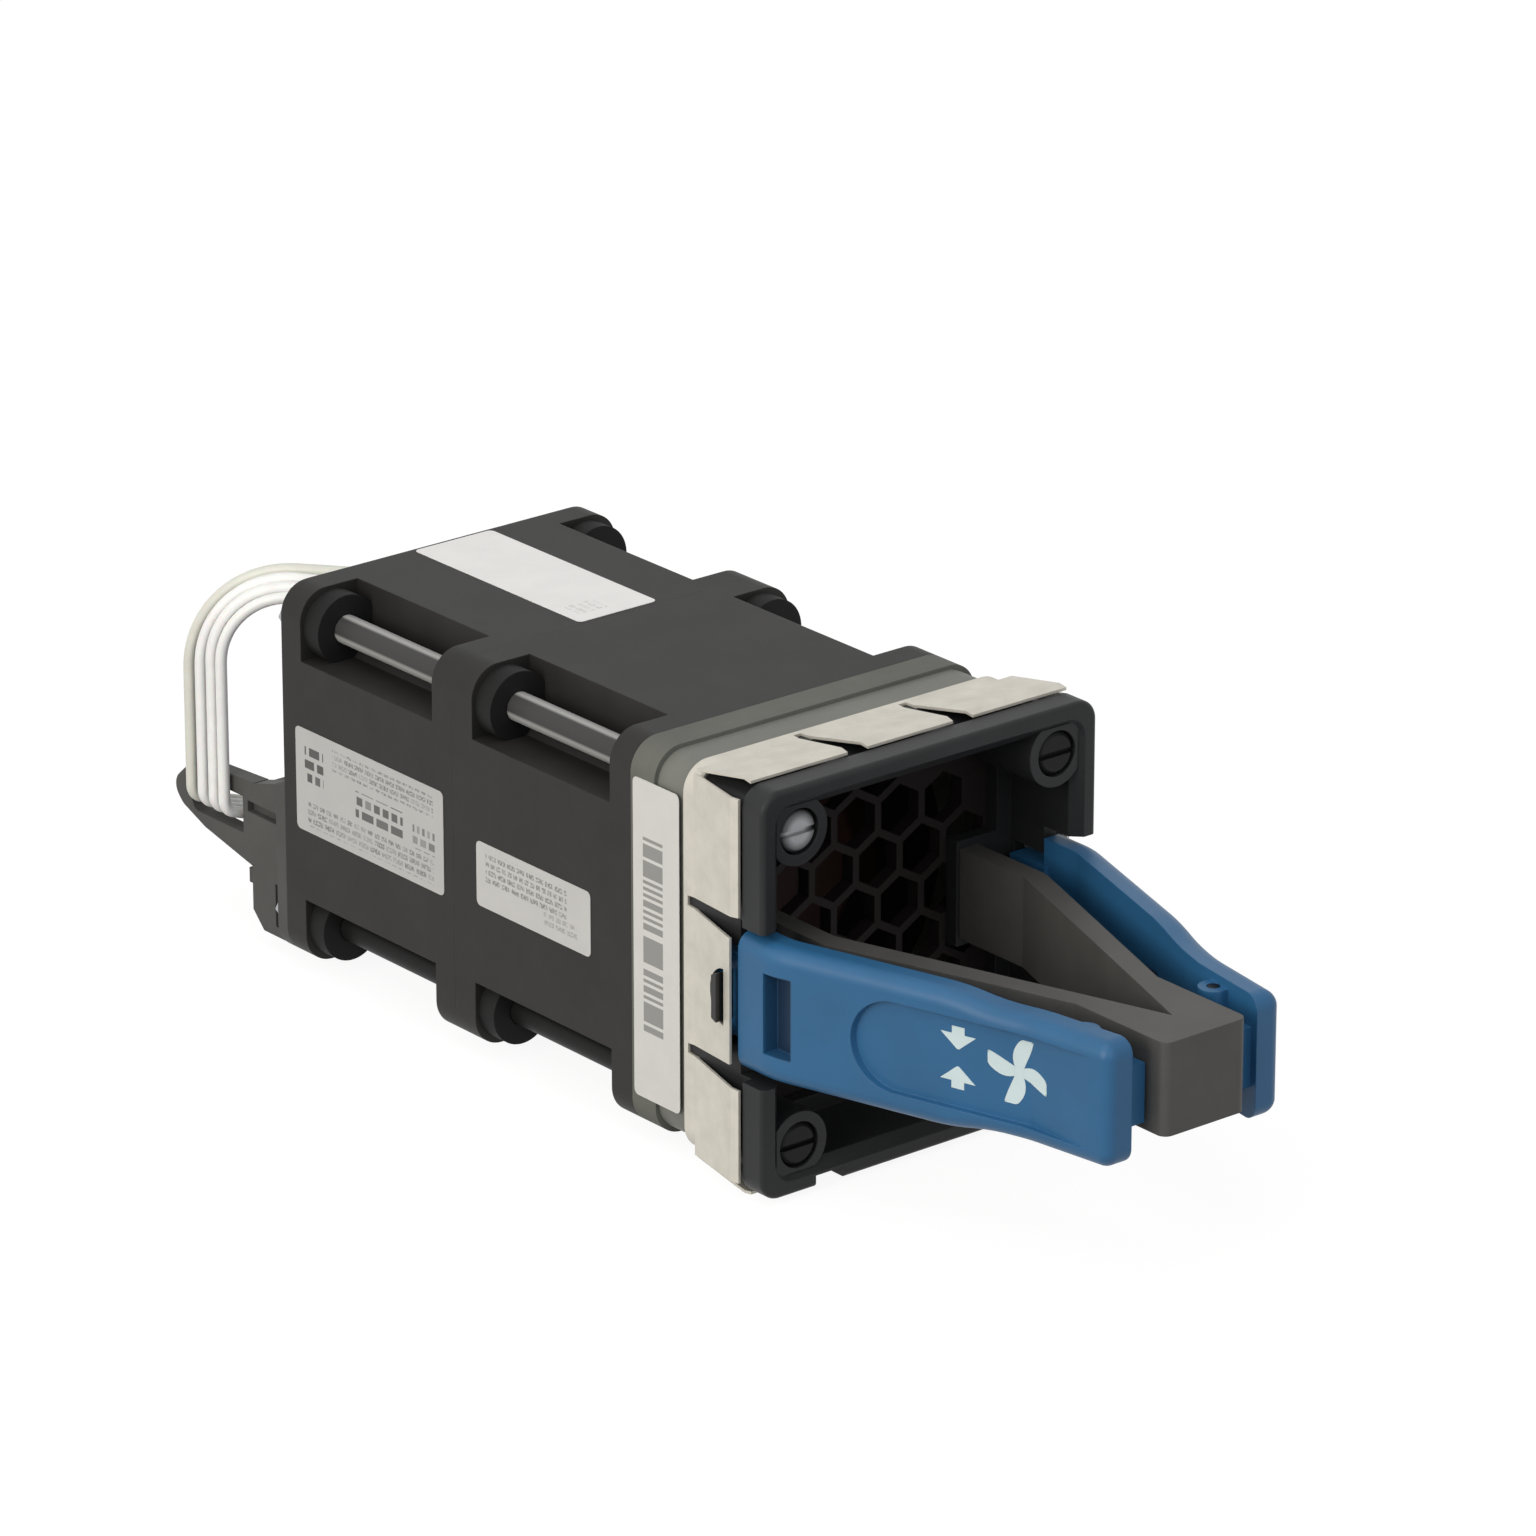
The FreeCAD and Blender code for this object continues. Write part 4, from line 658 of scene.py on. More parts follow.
@dataclass(frozen=True)
class PrintBlock:
    """One block of greeked print: rows of words that say nothing, or plain strokes.

    Attributes:
        low: Lower corner in the label's plane, in millimetres.
        high: Upper corner.
        row_mm: Height of one row with its space, or of the finest stroke.
        word_mm: Mean length of a word.
        strength: How dark the ink is.
        strokes: True for plain strokes of mixed width in place of rows.
        fill: Share of the places in a row that carry a word.
        fine: True if the words break up into marks too fine to tell apart.
        gap: Space round a word, as a share of the row.
        marks: Number of marks in the height of a row.
    """

    low: Pair
    high: Pair
    row_mm: float
    word_mm: float = 2.0
    strength: float = 0.8
    strokes: bool = False
    fill: float = 0.7
    fine: bool = True
    gap: float = 0.20
    marks: float = 3.0

    def words(self, tree: Tree, along: Socket, rise: Socket) -> Feed:
        """Draw rows of words: plain bars in a brick pattern, broken up where they are fine.

        Args:
            tree: The node tree.
            along: Coordinate along the rows.
            rise: Coordinate across the rows.

        Returns:
            One on the ink and nought on the film.
        """
        flat = add_node(tree, "CombineXYZ", {"X": along, "Y": rise})
        bricks = add_node(tree, "TexBrick", {
            "Vector": flat, "Scale": 1 / MM, "Mortar Size": self.gap * self.row_mm,
            "Mortar Smooth": 0.25, "Bias": 2 * self.fill - 1, "Brick Width": self.word_mm,
            "Row Height": self.row_mm, "Color1": (0, 0, 0, 1), "Color2": (1, 1, 1, 1),
            "Mortar": (0, 0, 0, 1)}, offset=0.41, squash=0.6, squash_frequency=3)
        if not self.fine:
            return bricks
        grain = add_node(tree, "TexNoise", {
            "Vector": flat, "Scale": self.marks / (self.row_mm * MM), "Detail": 1.0})
        inked = add_node(tree, "MapRange", {"Value": grain, "From Min": 0.36, "From Max": 0.56})
        return add_node(tree, "Math", {0: bricks, 1: inked}, operation="MULTIPLY")

    def bars(self, tree: Tree, rise: Socket) -> Feed:
        """Draw plain strokes of mixed width.

        Args:
            tree: The node tree.
            rise: Coordinate across the strokes.

        Returns:
            One on the ink and nought on the film.
        """
        step = add_node(tree, "Math", {0: rise, 1: 1 / (self.row_mm * MM)}, operation="MULTIPLY")
        number = add_node(tree, "Math", {0: step}, operation="FLOOR")
        chance = add_node(tree, "TexWhiteNoise", {"W": number}, noise_dimensions="1D")
        return add_node(tree, "Math", {0: chance, 1: self.fill}, operation="LESS_THAN")

    def ink(self, tree: Tree, along: Socket, rise: Socket) -> Feed:
        """Print the words or the strokes inside the block.

        Args:
            tree: The node tree.
            along: Coordinate along the rows.
            rise: Coordinate across the rows.

        Returns:
            Nought on bare film, up to the block's strength on the ink.
        """
        marks = self.bars(tree, rise) if self.strokes else self.words(tree, along, rise)
        for place, low, high in zip((along, rise), self.low, self.high):
            inside = add_node(tree, "Math", {
                0: place, 1: (low + high) / 2 * MM, 2: (high - low) / 2 * MM}, operation="COMPARE")
            marks = add_node(tree, "Math", {0: marks, 1: inside}, operation="MULTIPLY")
        return add_node(tree, "Math", {0: marks, 1: self.strength}, operation="MULTIPLY")


@dataclass(frozen=True)
class Print(Finish):
    """Satin label film with blocks of greeked print.

    Attributes:
        ink: Colour of the print, sRGB hex.
        side: Which way the label faces.
        blocks: Its blocks of print.
        ior: Refractive index.
    """

    spread: float = 0.03
    patch_mm: float = 4.0
    ink: str = "#3f3e3c"
    side: Side = Side.LEFT
    blocks: tuple[PrintBlock, ...] = ()
    ior: float = 1.49

    def surface(self, tree: Tree, place: Socket) -> Inputs:
        """Give the film, then one block of print after another.

        Args:
            tree: The node tree.
            place: Object coordinates.

        Returns:
            Inputs of the shader, by name.
        """
        axes = add_node(tree, "SeparateXYZ", {"Vector": place})
        along, rise = (axes.outputs[axis] for axis in self.side.value)
        colour = self.pigment(tree, place)
        for block in self.blocks:
            colour = add_node(tree, "Mix", data_type="RGBA", inputs={
                "Factor": block.ink(tree, along, rise), "A": colour, "B": linear(self.ink)})
        return {"Base Color": colour, "IOR": self.ior}


# --- finishes of this module ---
# Glass-filled PBT of the fan casings: near black, dull, with a grey bloom on lit faces.
CASING_PLASTIC = Moulding("glass_filled_pbt_black", "#272625", 0.56, spread=0.16, sheen=0.25)
# Impeller PBT: very dark red-brown, smoother than the casing.
IMPELLER_PLASTIC = Moulding("impeller_pbt_red_brown", "#2c1713", 0.45, spread=0.08, sheen=0.35)
# Bezel: PC/ABS, black, its sheen mostly swallowed by the texture.
BEZEL_PLASTIC = Moulding("pc_abs_satin_black", "#28292a", 0.44, spread=0.10, sheen=0.22)
# Bracket: the same family in a dull dark grey.
BRACKET_PLASTIC = Moulding("pc_abs_dull_grey", "#4b4b49", 0.58, spread=0.12, sheen=0.30)
# Grille: the same plastic with a coarse dead matt texture, a little brown.
GRILLE_PLASTIC = Moulding("pc_abs_matt_black", "#1d1817", 0.65, spread=0.12, sheen=0.20)
# Handle: warm grey glass-filled nylon, dull.
HANDLE_PLASTIC = Moulding("nylon_warm_grey", "#4d4c4a", 0.52, spread=0.10, sheen=0.35)
# Levers: slate blue ABS with a fine satin texture, and painted shade in the recess at the base.
LEVER_PLASTIC = LeverMoulding("abs_slate_blue", "#2b628d", 0.44, spread=0.06, texture_mm=0.3,
                              sheen=0.40)
# Latch teeth: black acetal, hard and smooth.
TOOTH_PLASTIC = Moulding("acetal_black", "#161616", 0.35, spread=0.05)
# Collar: moulded silicone rubber, dull grey.
COLLAR_RUBBER = Moulding("silicone_rubber_grey", "#686963", 0.75, spread=0.10,
                         texture_depth=0.02, sheen=0.3)
# Adapter: lighter greenish grey plastic.
ADAPTER_PLASTIC = Moulding("pc_abs_grey", "#74756f", 0.55, spread=0.08, sheen=0.4)
# Bushes: black EPDM rubber.
BUSH_RUBBER = Moulding("epdm_rubber_black", "#131313", 0.70, spread=0.12, sheen=0.25)
# Gasket: satin nickel over beryllium copper, warm and almost matt.
GASKET_METAL = Sheet("satin_nickel_sheet", "#d2cec3", 0.52, metallic=0.45, brush=(1.0, 0.08, 1.0))
# Zinc-plated steel of nuts and small screws: bright and a little blue.
ZINC_STEEL = Sheet("zinc_plated_steel", "#b4b6b8", 0.30, brush_mm=0.3)
# Long screws: dull dark phosphate, so that only the painted highlight lines on the upper shanks
# stand out.
SCREW_STEEL = LongScrew("phosphated_screw_steel", "#191919", 0.48)
# Hinge pins: blackened steel, a soft dark shine.
PIN_STEEL = Sheet("black_oxide_pin_steel", "#2f3032", 0.38)
# Shafts and bearings: ground steel, almost a mirror, with fine grinding marks.
GROUND_STEEL = Sheet("ground_bearing_steel", "#a4a6aa", 0.20, brush_mm=0.08)
# Rotor cup: deep-drawn steel, drawing marks along the axis.
CUP_STEEL = Sheet("drawn_rotor_steel", "#8f9094", 0.35, brush=(0.1, 1.0, 0.1))
# Springs: rolled and blued strip, grey with a cold cast.
SPRING_STEEL = Sheet("blued_spring_steel", "#6f747c", 0.30)
# Bearing tube: turned brass, yellow and shiny.
TURNED_BRASS = Sheet("turned_brass", "#c9a24e", 0.25, brush=(0.1, 1.0, 0.1))
# Contacts: thin gold over nickel, pale yellow.
CONTACT_GOLD = Sheet("gold_flashed_contact", "#d8b663", 0.25)
# Magnet ring: ferrite powder in rubber, dark brown and dull.
MAGNET_RUBBER = Moulding("bonded_ferrite", "#2d2927", 0.60)
# Stator core: stacked laminations, fine dark lines between grey sheets.
CORE_STEEL = Stack("silicon_steel_stack", "#80838a", 0.40)
# Coils: enamelled copper wire wound in layers, reddish and glossy.
COIL_WIRE = Stack("enamelled_copper_winding", "#b5642c", 0.30, second="#5c2a10", layer_mm=0.3,
                  metallic=0.8)
# Circuit board: green mask, smooth and shiny.
BOARD_MASK = Moulding("green_solder_mask", "#1f5a34", 0.30, texture_depth=0.004)
# Plug: black nylon, a little smoother than the casings.
PLUG_NYLON = Moulding("nylon_66_black", "#1c1c1c", 0.45, sheen=0.4)
# Leads: PVC insulation, three white and one pale grey, waxy.
WHITE_WIRE = Insulation("pvc_insulation_white", "#fafaf8", 0.38)
GREY_WIRE = Insulation("pvc_insulation_pale_grey", "#dfdfd5", 0.38)
# Sign: pad-printed ink, a cool white that hides the blue below.
SIGN_INK = Moulding("pad_print_white", "#d5e6e8", 0.50, spread=0.03, edge_mm=0.02)


@dataclass
class CadDress:
    """Gives every CAD node its finish.

    Attributes:
        table: Finish of each node, by its name, or by its name without "front", "rear",
            "left" or "right" where two nodes share one.
    """

    table: dict[str, Finish] = field(default_factory=lambda: {
        "fan_casing": CASING_PLASTIC, "impeller": IMPELLER_PLASTIC, "rotor_cup": CUP_STEEL,
        "magnet_ring": MAGNET_RUBBER, "shaft": GROUND_STEEL, "retaining_ring": SPRING_STEEL,
        "bearing_tube": TURNED_BRASS, "ball_bearings": GROUND_STEEL, "stator_core": CORE_STEEL,
        "coils": COIL_WIRE, "circuit_board": BOARD_MASK, "long_screws": SCREW_STEEL,
        "rear_nuts": ZINC_STEEL, "rubber_bushes": BUSH_RUBBER, "damping_collar": COLLAR_RUBBER,
        "adapter_frame": ADAPTER_PLASTIC, "honeycomb_grille": GRILLE_PLASTIC,
        "bezel": BEZEL_PLASTIC, "spring_finger_gasket": GASKET_METAL,
        "handle_yoke": HANDLE_PLASTIC, "handle_screws": ZINC_STEEL, "hinge_pins": PIN_STEEL,
        "lever": LEVER_PLASTIC, "latch_tooth": TOOTH_PLASTIC, "leaf_spring": SPRING_STEEL,
        "rear_bracket": BRACKET_PLASTIC, "connector_housing": PLUG_NYLON,
        "connector_contacts": CONTACT_GOLD, "white_leads": WHITE_WIRE, "grey_lead": GREY_WIRE})

    def finish_of(self, node: str) -> Finish:
        """Finish of one node, by its whole name or by the name that it shares."""
        return self.table[node if node in self.table else node.split("_", 1)[1]]

    def build(self) -> None:
        """Dress all the nodes."""
        made: dict[str, bpy.types.Material] = {}
        for node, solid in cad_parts.items():
            finish = self.finish_of(node)
            if finish.name not in made:
                made[finish.name] = finish.build()
            dress(solid, made[finish.name])
            log.info("dressed %s in %s", node, finish.name)


# --- labels ---
@dataclass
class Label:
    """One adhesive label: a thin film with rounded corners.

    Attributes:
        name: Piece name.
        low: Lower corner, in millimetres.
        high: Upper corner, in millimetres; one coordinate equals that of low.
        outward: Direction that the label faces.
        finish: Its print.
        corner_mm: Corner radius.
        film_mm: Thickness.
    """

    name: str
    low: Triple
    high: Triple
    outward: Triple
    finish: Print
    corner_mm: float = 0.6
    film_mm: float = 0.05

    def build(self) -> Piece:
        """Model the label: a plane, its corners rounded, then given its thickness.

        Returns:
            The label.
        """
        low, high, out = Vector(self.low) * MM, Vector(self.high) * MM, Vector(self.outward)
        deselect()
        bpy.ops.mesh.primitive_plane_add(size=1.0)
        label = bpy.context.object
        label.name = label.data.name = self.name
        turn = out.to_track_quat("Z", "Y")
        size = turn.inverted() @ (high - low)
        label.scale = (abs(size.x), abs(size.y), 1.0)
        label.rotation_mode = "QUATERNION"
        label.rotation_quaternion = turn
        label.location = (low + high) / 2 + out * (0.5 * self.film_mm * MM)
        settle(label)
        select_vertices(label, lambda v: True)
        bpy.ops.mesh.bevel(offset=self.corner_mm * MM, segments=5, affect="VERTICES")
        finish_with(label, "SOLIDIFY", thickness=self.film_mm * MM, offset=0.0)
        dress(label, self.finish.build())
        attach(label, "module_frame")
        return label


@dataclass
class Labels:
    """All the labels of the module.

    Attributes:
        half: Half width of the casing, in millimetres.
        lift: Clearance that stands for the glue line, in millimetres.
    """

    half: float = 20.0
    lift: float = 0.01

    def build(self) -> list[Piece]:
        """Make the labels.

        Returns:
            The labels.
        """
        side, top = -self.half - self.lift, self.half + self.lift
        labels = [
            Label("label_rear_fan", (side, 29.6, -5.2), (side, 53.9, 5.8), (-1, 0, 0), Print(
                "label_film_rear_fan", "#c1c0be", 0.45, blocks=(
                    PrintBlock((49.3, 0.0), (52.4, 4.3), 1.40, 2.2, 0.95, fill=0.9, fine=False),
                    PrintBlock((31.2, 2.6), (47.8, 4.9), 0.75, 1.7, 0.65),
                    PrintBlock((36.2, -1.1), (44.0, 1.7), 1.35, 2.4, 0.88, fill=0.8, fine=False),
                    PrintBlock((31.0, -1.5), (34.6, 1.1), 1.20, 1.4, 0.70, fill=0.75, fine=False),
                    PrintBlock((31.2, -4.5), (52.0, -1.9), 0.85, 1.9, 0.65)))),
            Label("label_front_fan", (side, 6.3, -4.3), (side, 24.3, 2.5), (-1, 0, 0), Print(
                "label_film_front_fan", "#cccbc8", 0.45, blocks=(
                    PrintBlock((10.0, -1.6), (22.8, 1.8), 0.82, 1.5, 0.65, fill=0.85),
                    PrintBlock((8.4, -3.2), (13.6, -1.6), 0.80, 1.8, 0.40)))),
            Label("label_collar", (side, -7.4, -16.2), (side, -0.4, 16.7), (-1, 0, 0), Print(
                "label_film_collar", "#dad9d5", 0.45, blocks=(
                    PrintBlock((-4.9, -9.4), (-1.9, 11.0), 0.34, 1.0, 0.62, strokes=True,
                               fill=0.62),
                    PrintBlock((-6.6, -6.0), (-5.5, 9.6), 1.5, 0.5, 0.40, fill=0.8)))),
            Label("label_top", (-3.6, 28.6, top), (6.2, 55.6, top), (0, 0, 1), Print(
                "label_film_top", "#f7f6f4", 0.45, side=Side.TOP, blocks=(
                    PrintBlock((30.4, -2.2), (33.0, 1.4), 0.9, 2.2, 0.30),))),
        ]
        return [label.build() for label in labels]


# --- lever springs ---
@dataclass
class LeafSprings:
    """The springs behind the levers, cut into short lengths between the frame end and the lever
    end.

    Attributes:
        fixed_mm: The cuts start here along the fan axis, at the frame end of a spring.
        free_mm: The cuts end here, at the lever end.
        cuts: Number of lengths between the two, so that the spring can bend as a curve.
        merge_mm: Corners of the solid's triangles closer than this are made one.
    """

    fixed_mm: float = -21.0
    free_mm: float = -39.0
    cuts: int = 12
    merge_mm: float = 0.001

    def strip(self, side: str) -> Piece:
        """Cut one spring across into short lengths that can bend.

        Args:
            side: "left" or "right".

        Returns:
            The spring.
        """
        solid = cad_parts[f"{side}_leaf_spring"]
        strip = bpy.data.objects.new(f"{side}_spring_strip", solid.data.copy())
        bpy.context.collection.objects.link(strip)
        pick(strip)
        bpy.ops.object.mode_set(mode="EDIT")
        bpy.ops.mesh.select_all(action="SELECT")
        bpy.ops.mesh.remove_doubles(threshold=self.merge_mm * MM)
        for cut in range(self.cuts + 1):
            place = self.fixed_mm + (self.free_mm - self.fixed_mm) * cut / self.cuts
            bpy.ops.mesh.select_all(action="SELECT")
            bpy.ops.mesh.bisect(plane_co=(0.0, place * MM, 0.0), plane_no=(0.0, 1.0, 0.0))
        deselect()
        return strip

    def build(self) -> list[Piece]:
        """Make both springs, cut into lengths, in place of the CAD ones.

        Returns:
            The springs.
        """
        strips = []
        for side in ("left", "right"):
            strip = self.strip(side)
            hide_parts(f"{side}_leaf_spring")
            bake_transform(strip)
            strips.append(strip)
        return strips


# --- sign on the left lever ---
@dataclass(frozen=True)
class Vane:
    """One vane of the fan wheel in the sign: a curved paddle with a blunt end.

    All its sizes are shares of the wheel's radius.

    Attributes:
        start: Where it starts from the wheel's centre.
        width: Width of the blank that it is bent from.
        root: Share of that width at the wheel's centre.
        belly: What the belly adds to that share.
        bulge: Share of a half turn that the belly's curve takes up to the rim.
        sweep: How much the vane curves sideways.
        corner: Radius of the corners at the rim.
        corner_from: Only what is farther than this from the middle of the rim is rounded.
        cuts: Number of cuts across the blank, for the curves.
    """

    start: float = 0.15
    width: float = 0.36
    root: float = 0.50
    belly: float = 0.95
    bulge: float = 0.75
    sweep: float = 0.36
    corner: float = 0.08
    corner_from: float = 0.13
    cuts: int = 6

    def build(self, reach: float) -> Piece:
        """Model the vane, flat in X and Y.

        Args:
            reach: Radius of the wheel, in metres.

        Returns:
            The vane.
        """
        vane = add_blank(self.width * reach, (1 - self.start) * reach,
                         (1 + self.start) / 2 * reach)
        bpy.ops.object.mode_set(mode="EDIT")
        bpy.ops.mesh.select_all(action="SELECT")
        bpy.ops.mesh.subdivide(number_cuts=self.cuts)
        deselect()
        for vertex in vane.data.vertices:
            along = vertex.co.y / reach
            curve = math.sin(math.pi * min(1.0, along) * self.bulge)
            vertex.co.x *= self.root + self.belly * curve
            vertex.co.x += self.sweep * reach * (along - self.start) ** 2
        rim, tip = 0.99 * reach, self.sweep * (1 - self.start) ** 2 * reach
        select_vertices(vane, lambda v: v.co.y > rim
                        and abs(v.co.x - tip) > self.corner_from * reach)
        bpy.ops.mesh.bevel(offset=self.corner * reach, segments=3, affect="VERTICES")
        deselect()
        return vane


@dataclass
class LeverSign:
    """Pad-printed sign on the thumb rest: a fan wheel and two squeeze arrows.

    Attributes:
        wheel: Centre of the wheel along Y and Z, in millimetres.
        arrows: Centres of the arrows, the one that points down first.
        wheel_mm: Radius of the wheel.
        vane: Shape of its vanes.
        vanes: Number of its vanes.
        hub: Width of the square hub that fills the middle, as a share of the radius.
        arrow_mm: Width and height of an arrow's head.
        point: Width of an arrow's tip, as a share of the head's.
        stem: Width and height of an arrow's stem, as shares of the head's.
        ink_mm: Thickness of the ink.
        beside: X of a plane beside the lever, from which the ink is pressed on.
    """

    wheel: Pair = (-47.3, -0.75)
    arrows: tuple[Pair, ...] = ((-40.9, 1.5), (-40.9, -3.25))
    wheel_mm: float = 3.3
    vane: Vane = Vane()
    vanes: int = 4
    hub: float = 0.296
    arrow_mm: Pair = (3.7, 1.5)
    point: float = 0.06
    stem: Pair = (0.36, 0.5)
    ink_mm: float = 0.04
    beside: float = -19.0

    def wheel_piece(self) -> Piece:
        """Model the wheel: vanes round a small square hub that fills the middle.

        Returns:
            The wheel, flat in X and Y.
        """
        pieces = []
        for turn in range(self.vanes):
            vane = self.vane.build(self.wheel_mm * MM)
            vane.rotation_euler = (0.0, 0.0, turn * 2 * math.pi / self.vanes)
            settle(vane)
            pieces.append(vane)
        hub = self.hub * self.wheel_mm * MM
        return join_pieces([*pieces, add_blank(hub, hub, 0.0)], "lever_sign_wheel")

    def arrow_piece(self, up: bool) -> Piece:
        """Model one arrow: a blank narrowed to the tip, with a second blank as its stem.

        Args:
            up: True if the arrow points up.

        Returns:
            The arrow, flat in X and Y.
        """
        width, height = (size * MM for size in self.arrow_mm)
        head = add_blank(width, height, 0.5 * height)
        select_vertices(head, lambda v: v.co.y > 0.5 * height)
        bpy.ops.transform.resize(value=(self.point, 1.0, 1.0), center_override=(0.0, height, 0.0))
        tall = self.stem[1] * height
        stem = add_blank(self.stem[0] * width, tall, -0.5 * tall)
        arrow = join_pieces([head, stem], "lever_sign_arrow_" + ("up" if up else "down"))
        if not up:
            arrow.rotation_euler = (0.0, 0.0, math.pi)
            settle(arrow)
        return arrow

    def press_on(self, piece: Piece, centre: Pair) -> None:
        """Stand a flat piece up beside the lever, press it onto the thumb rest and thicken it.

        Args:
            piece: Piece drawn in X and Y.
            centre: Its centre along Y and Z.
        """
        stand = Matrix.Rotation(-math.pi / 2, 4, "Z") @ Matrix.Rotation(math.pi / 2, 4, "X")
        piece.matrix_world = Matrix.Translation(Vector((self.beside, *centre)) * MM) @ stand
        settle(piece)
        finish_with(piece, "SHRINKWRAP", target=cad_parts["left_lever"],
                    wrap_method="PROJECT", use_project_x=True, use_positive_direction=True,
                    use_negative_direction=False, offset=0.5 * self.ink_mm * MM)
        finish_with(piece, "SOLIDIFY", thickness=self.ink_mm * MM, offset=0.0)

    def build(self) -> list[Piece]:
        """Make the sign.

        Returns:
            Its pieces.
        """
        places = {self.wheel_piece(): self.wheel, self.arrow_piece(False): self.arrows[0],
                  self.arrow_piece(True): self.arrows[1]}
        ink = SIGN_INK.build()
        for piece, centre in places.items():
            self.press_on(piece, centre)
            dress(piece, ink)
            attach(piece, "left_squeeze_lever")
        return list(places)


# --- studio ---
@dataclass
class Lamp:
    """One soft lamp.

    Attributes:
        name: Name of the lamp.
        place: Where it stands, in metres.
        size: Width of its square face, in metres.
        power: Power in watts.
        tint: Colour, sRGB hex.
    """

    name: str
    place: Triple
    size: float
    power: float
    tint: str = "#ffffff"

    def build(self, aim: Vector) -> None:
        """Place the lamp so that it faces a point.

        Args:
            aim: Point to face.
        """
        light = bpy.data.lights.new(self.name, "AREA")
        light.shape = "SQUARE"
        light.size = self.size
        light.energy = self.power
        light.color = linear(self.tint)[:3]
        lamp = bpy.data.objects.new(self.name, light)
        bpy.context.scene.collection.objects.link(lamp)
        lamp.location = self.place
        lamp.rotation_euler = (aim - Vector(self.place)).to_track_quat("-Z", "Y").to_euler()


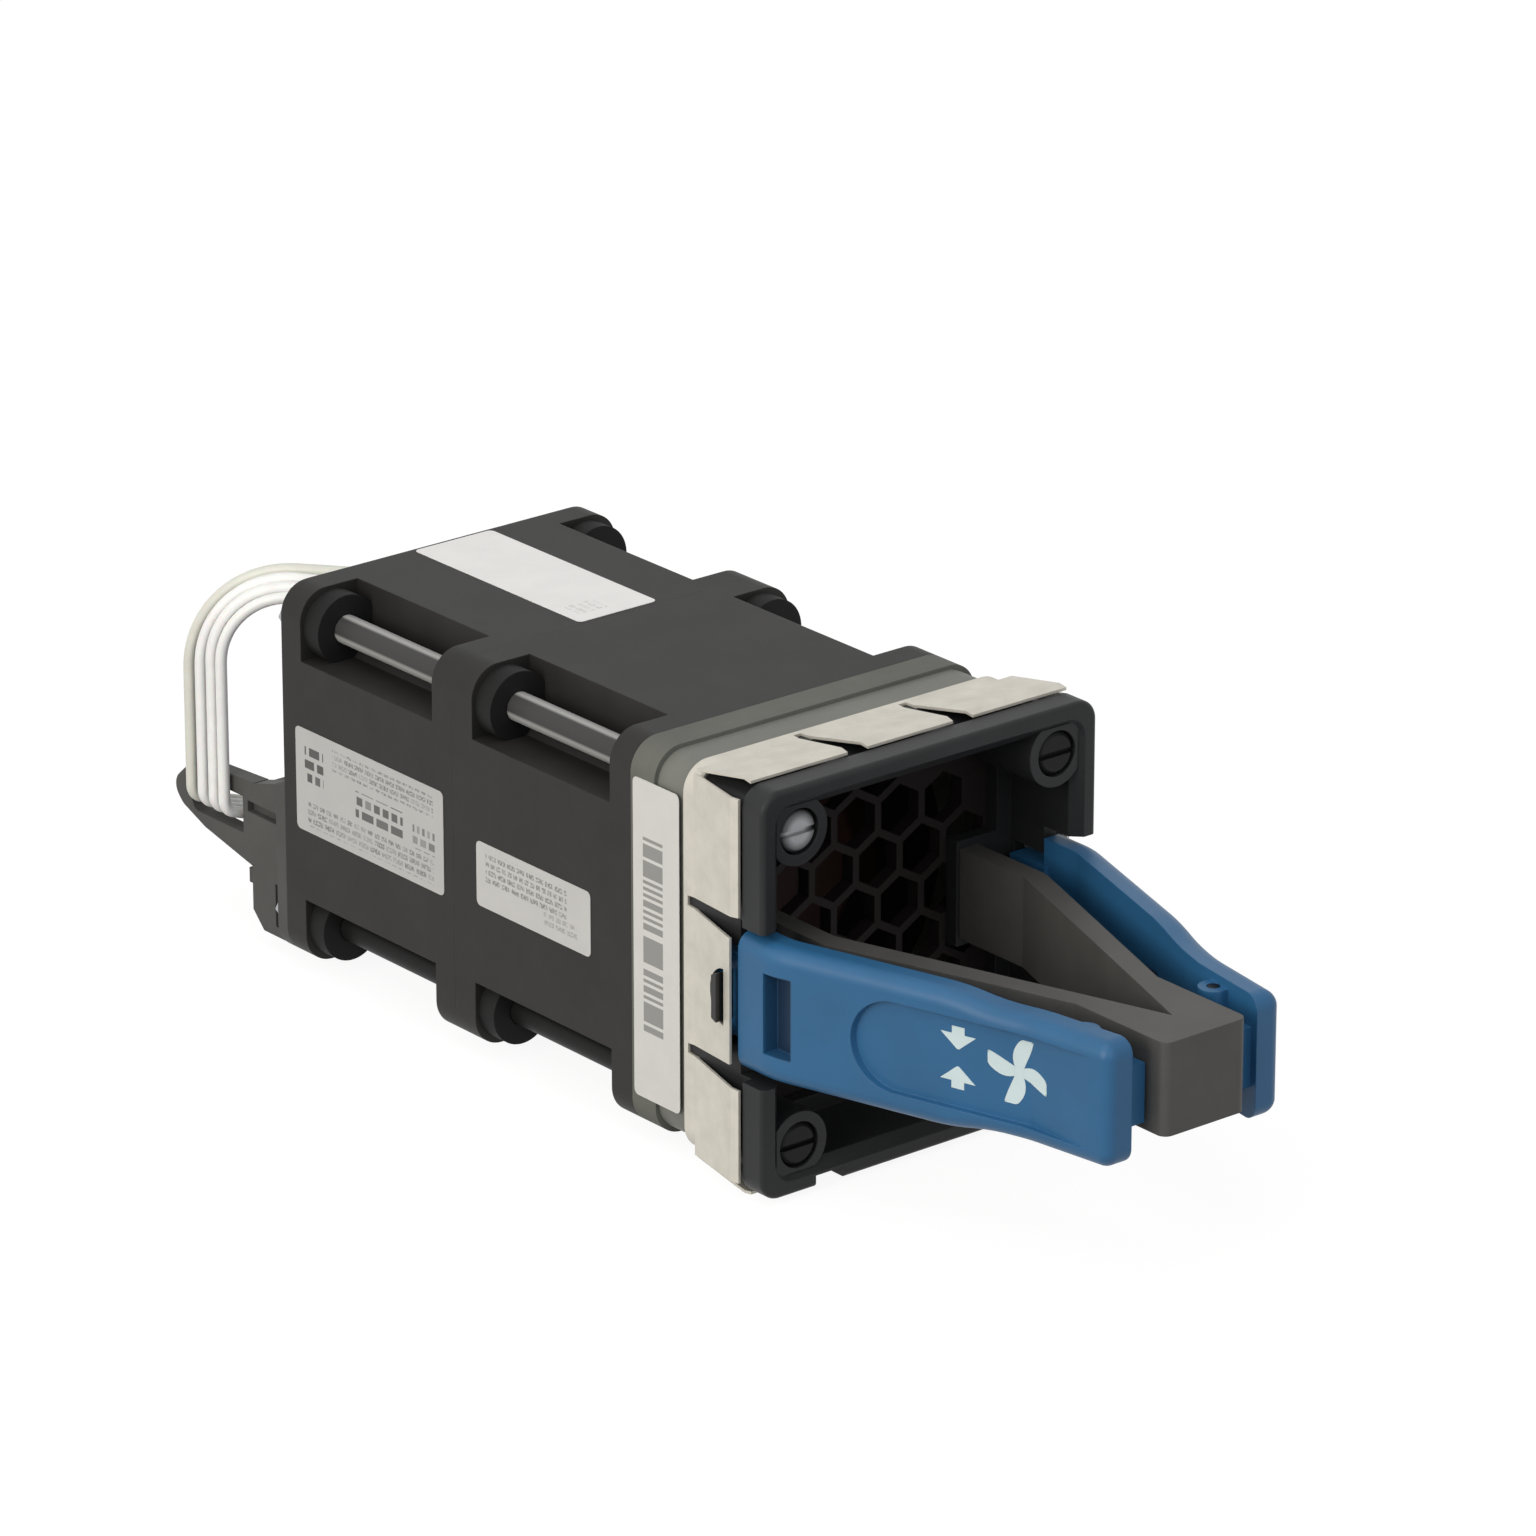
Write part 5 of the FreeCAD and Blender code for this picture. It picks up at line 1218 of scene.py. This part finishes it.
@dataclass
class Studio:
    """Plain pale floor, soft lamps, white surroundings and the camera.

    Attributes:
        aim_mm: Point in the middle of the view.
        azimuth_deg: Camera direction round Z, nought on the handle side.
        elevation_deg: Camera height angle.
        distance: Camera to aim, in metres.
        lens_mm: Focal length on the sensor.
        sensor_mm: Width of the sensor.
        lamps: The soft lamps.
        soft: Strength of the light that comes from the surroundings.
        white: Strength at which the surroundings themselves look white.
        floor_size: Width of the floor, in metres.
        floor_gap_mm: The floor lies this far below the module.
        floor_paint: Colour of the floor in the lamps' light, sRGB hex.
        floor_glow: Strength of its own light, just enough for a white look.
        glow_share: Share of that light in the floor, the rest being paint.
    """

    aim_mm: Triple = (19.88, 28.0, -0.94)
    azimuth_deg: float = -39.35
    elevation_deg: float = 21.2
    distance: float = 0.8765
    lens_mm: float = 203.6
    sensor_mm: float = 36.0
    lamps: tuple[Lamp, ...] = (
        Lamp("overhead_softbox", (-0.38, -0.10, 0.90), 0.70, 2.1),
        Lamp("left_softbox", (-0.90, -0.10, 0.35), 0.55, 4.7, "#fffaf2"),
        Lamp("front_fill", (-0.30, -0.95, 0.45), 0.50, 1.2, "#f4f8ff"),
    )
    soft: float = 0.42
    white: float = 1.0
    floor_size: float = 6.0
    floor_gap_mm: float = 0.05
    floor_paint: str = "#9a9a9a"
    floor_glow: float = 1.82
    glow_share: float = 0.5

    def camera(self) -> None:
        """Place the camera."""
        azimuth, elevation = math.radians(self.azimuth_deg), math.radians(self.elevation_deg)
        towards = Vector((math.sin(azimuth) * math.cos(elevation),
                          -math.cos(azimuth) * math.cos(elevation), math.sin(elevation)))
        lens = bpy.data.cameras.new("camera")
        lens.lens = self.lens_mm
        lens.sensor_width = self.sensor_mm
        lens.clip_start = 0.01
        camera = bpy.data.objects.new("camera", lens)
        bpy.context.scene.collection.objects.link(camera)
        camera.location = Vector(self.aim_mm) * MM + towards * self.distance
        camera.rotation_euler = (-towards).to_track_quat("-Z", "Y").to_euler()
        bpy.context.scene.camera = camera

    def sees_white(self, tree: Tree) -> Feed:
        """Pick the rays that see the background itself: direct, mirrored and refracted ones.

        Args:
            tree: The node tree.

        Returns:
            One for such a ray and nought for one that only brings light.
        """
        path = add_node(tree, "LightPath")
        share: Feed = path.outputs["Is Camera Ray"]
        for kind in ("Is Glossy Ray", "Is Transmission Ray"):
            share = add_node(tree, "Math", {0: share, 1: path.outputs[kind]}, operation="MAXIMUM")
        return share

    def surroundings(self) -> None:
        """White surroundings for the camera and reflections, softer for the light."""
        world = bpy.data.worlds.new("studio_white")
        world.use_nodes = True
        bpy.context.scene.world = world
        tree = world.node_tree
        tree.nodes.clear()
        soft, white = (
            add_node(tree, "Background", {"Color": linear("#ffffff"), "Strength": strength})
            for strength in (self.soft, self.white))
        mix = add_node(tree, "MixShader", {0: self.sees_white(tree), 1: soft, 2: white})
        add_node(tree, "OutputWorld", {"Surface": mix})

    def floor(self) -> None:
        """Lay the floor just under the module: matt paint that looks white and keeps shadows."""
        deselect()
        level = CAD_BOX[0][2] - self.floor_gap_mm * MM
        bpy.ops.mesh.primitive_plane_add(size=self.floor_size, location=(0.0, 0.0, level))
        floor = bpy.context.object
        floor.name = "floor"
        settle(floor)
        material = bpy.data.materials.new("matt_floor_paint")
        material.use_nodes = True
        tree = material.node_tree
        tree.nodes.clear()
        paint = add_node(tree, "BsdfDiffuse", {"Color": linear(self.floor_paint)})
        glow = add_node(tree, "Emission", {
            "Color": linear("#ffffff"), "Strength": self.floor_glow})
        share = add_node(tree, "Math", {
            0: self.sees_white(tree), 1: self.glow_share}, operation="MULTIPLY")
        mix = add_node(tree, "MixShader", {0: share, 1: paint, 2: glow})
        add_node(tree, "OutputMaterial", {"Surface": mix})
        dress(floor, material)

    def build(self) -> None:
        """Set up the studio."""
        self.camera()
        self.surroundings()
        self.floor()
        for lamp in self.lamps:
            lamp.build(Vector(self.aim_mm) * MM)
        bpy.context.scene.view_settings.view_transform = "Standard"
        log.info("studio ready with %d lamps", len(self.lamps))


def main() -> None:
    """Dress the module, add the pieces that the CAD leaves out and set up the studio."""
    logging.basicConfig(level=logging.INFO, format="%(name)s: %(message)s")
    Studio().build()
    CadDress().build()
    for group in (Labels(), LeafSprings(), LeverSign()):
        for piece in group.build():
            log.info("%s: %d faces", piece.name, len(piece.data.polygons))


if __name__ == "__main__":
    main()
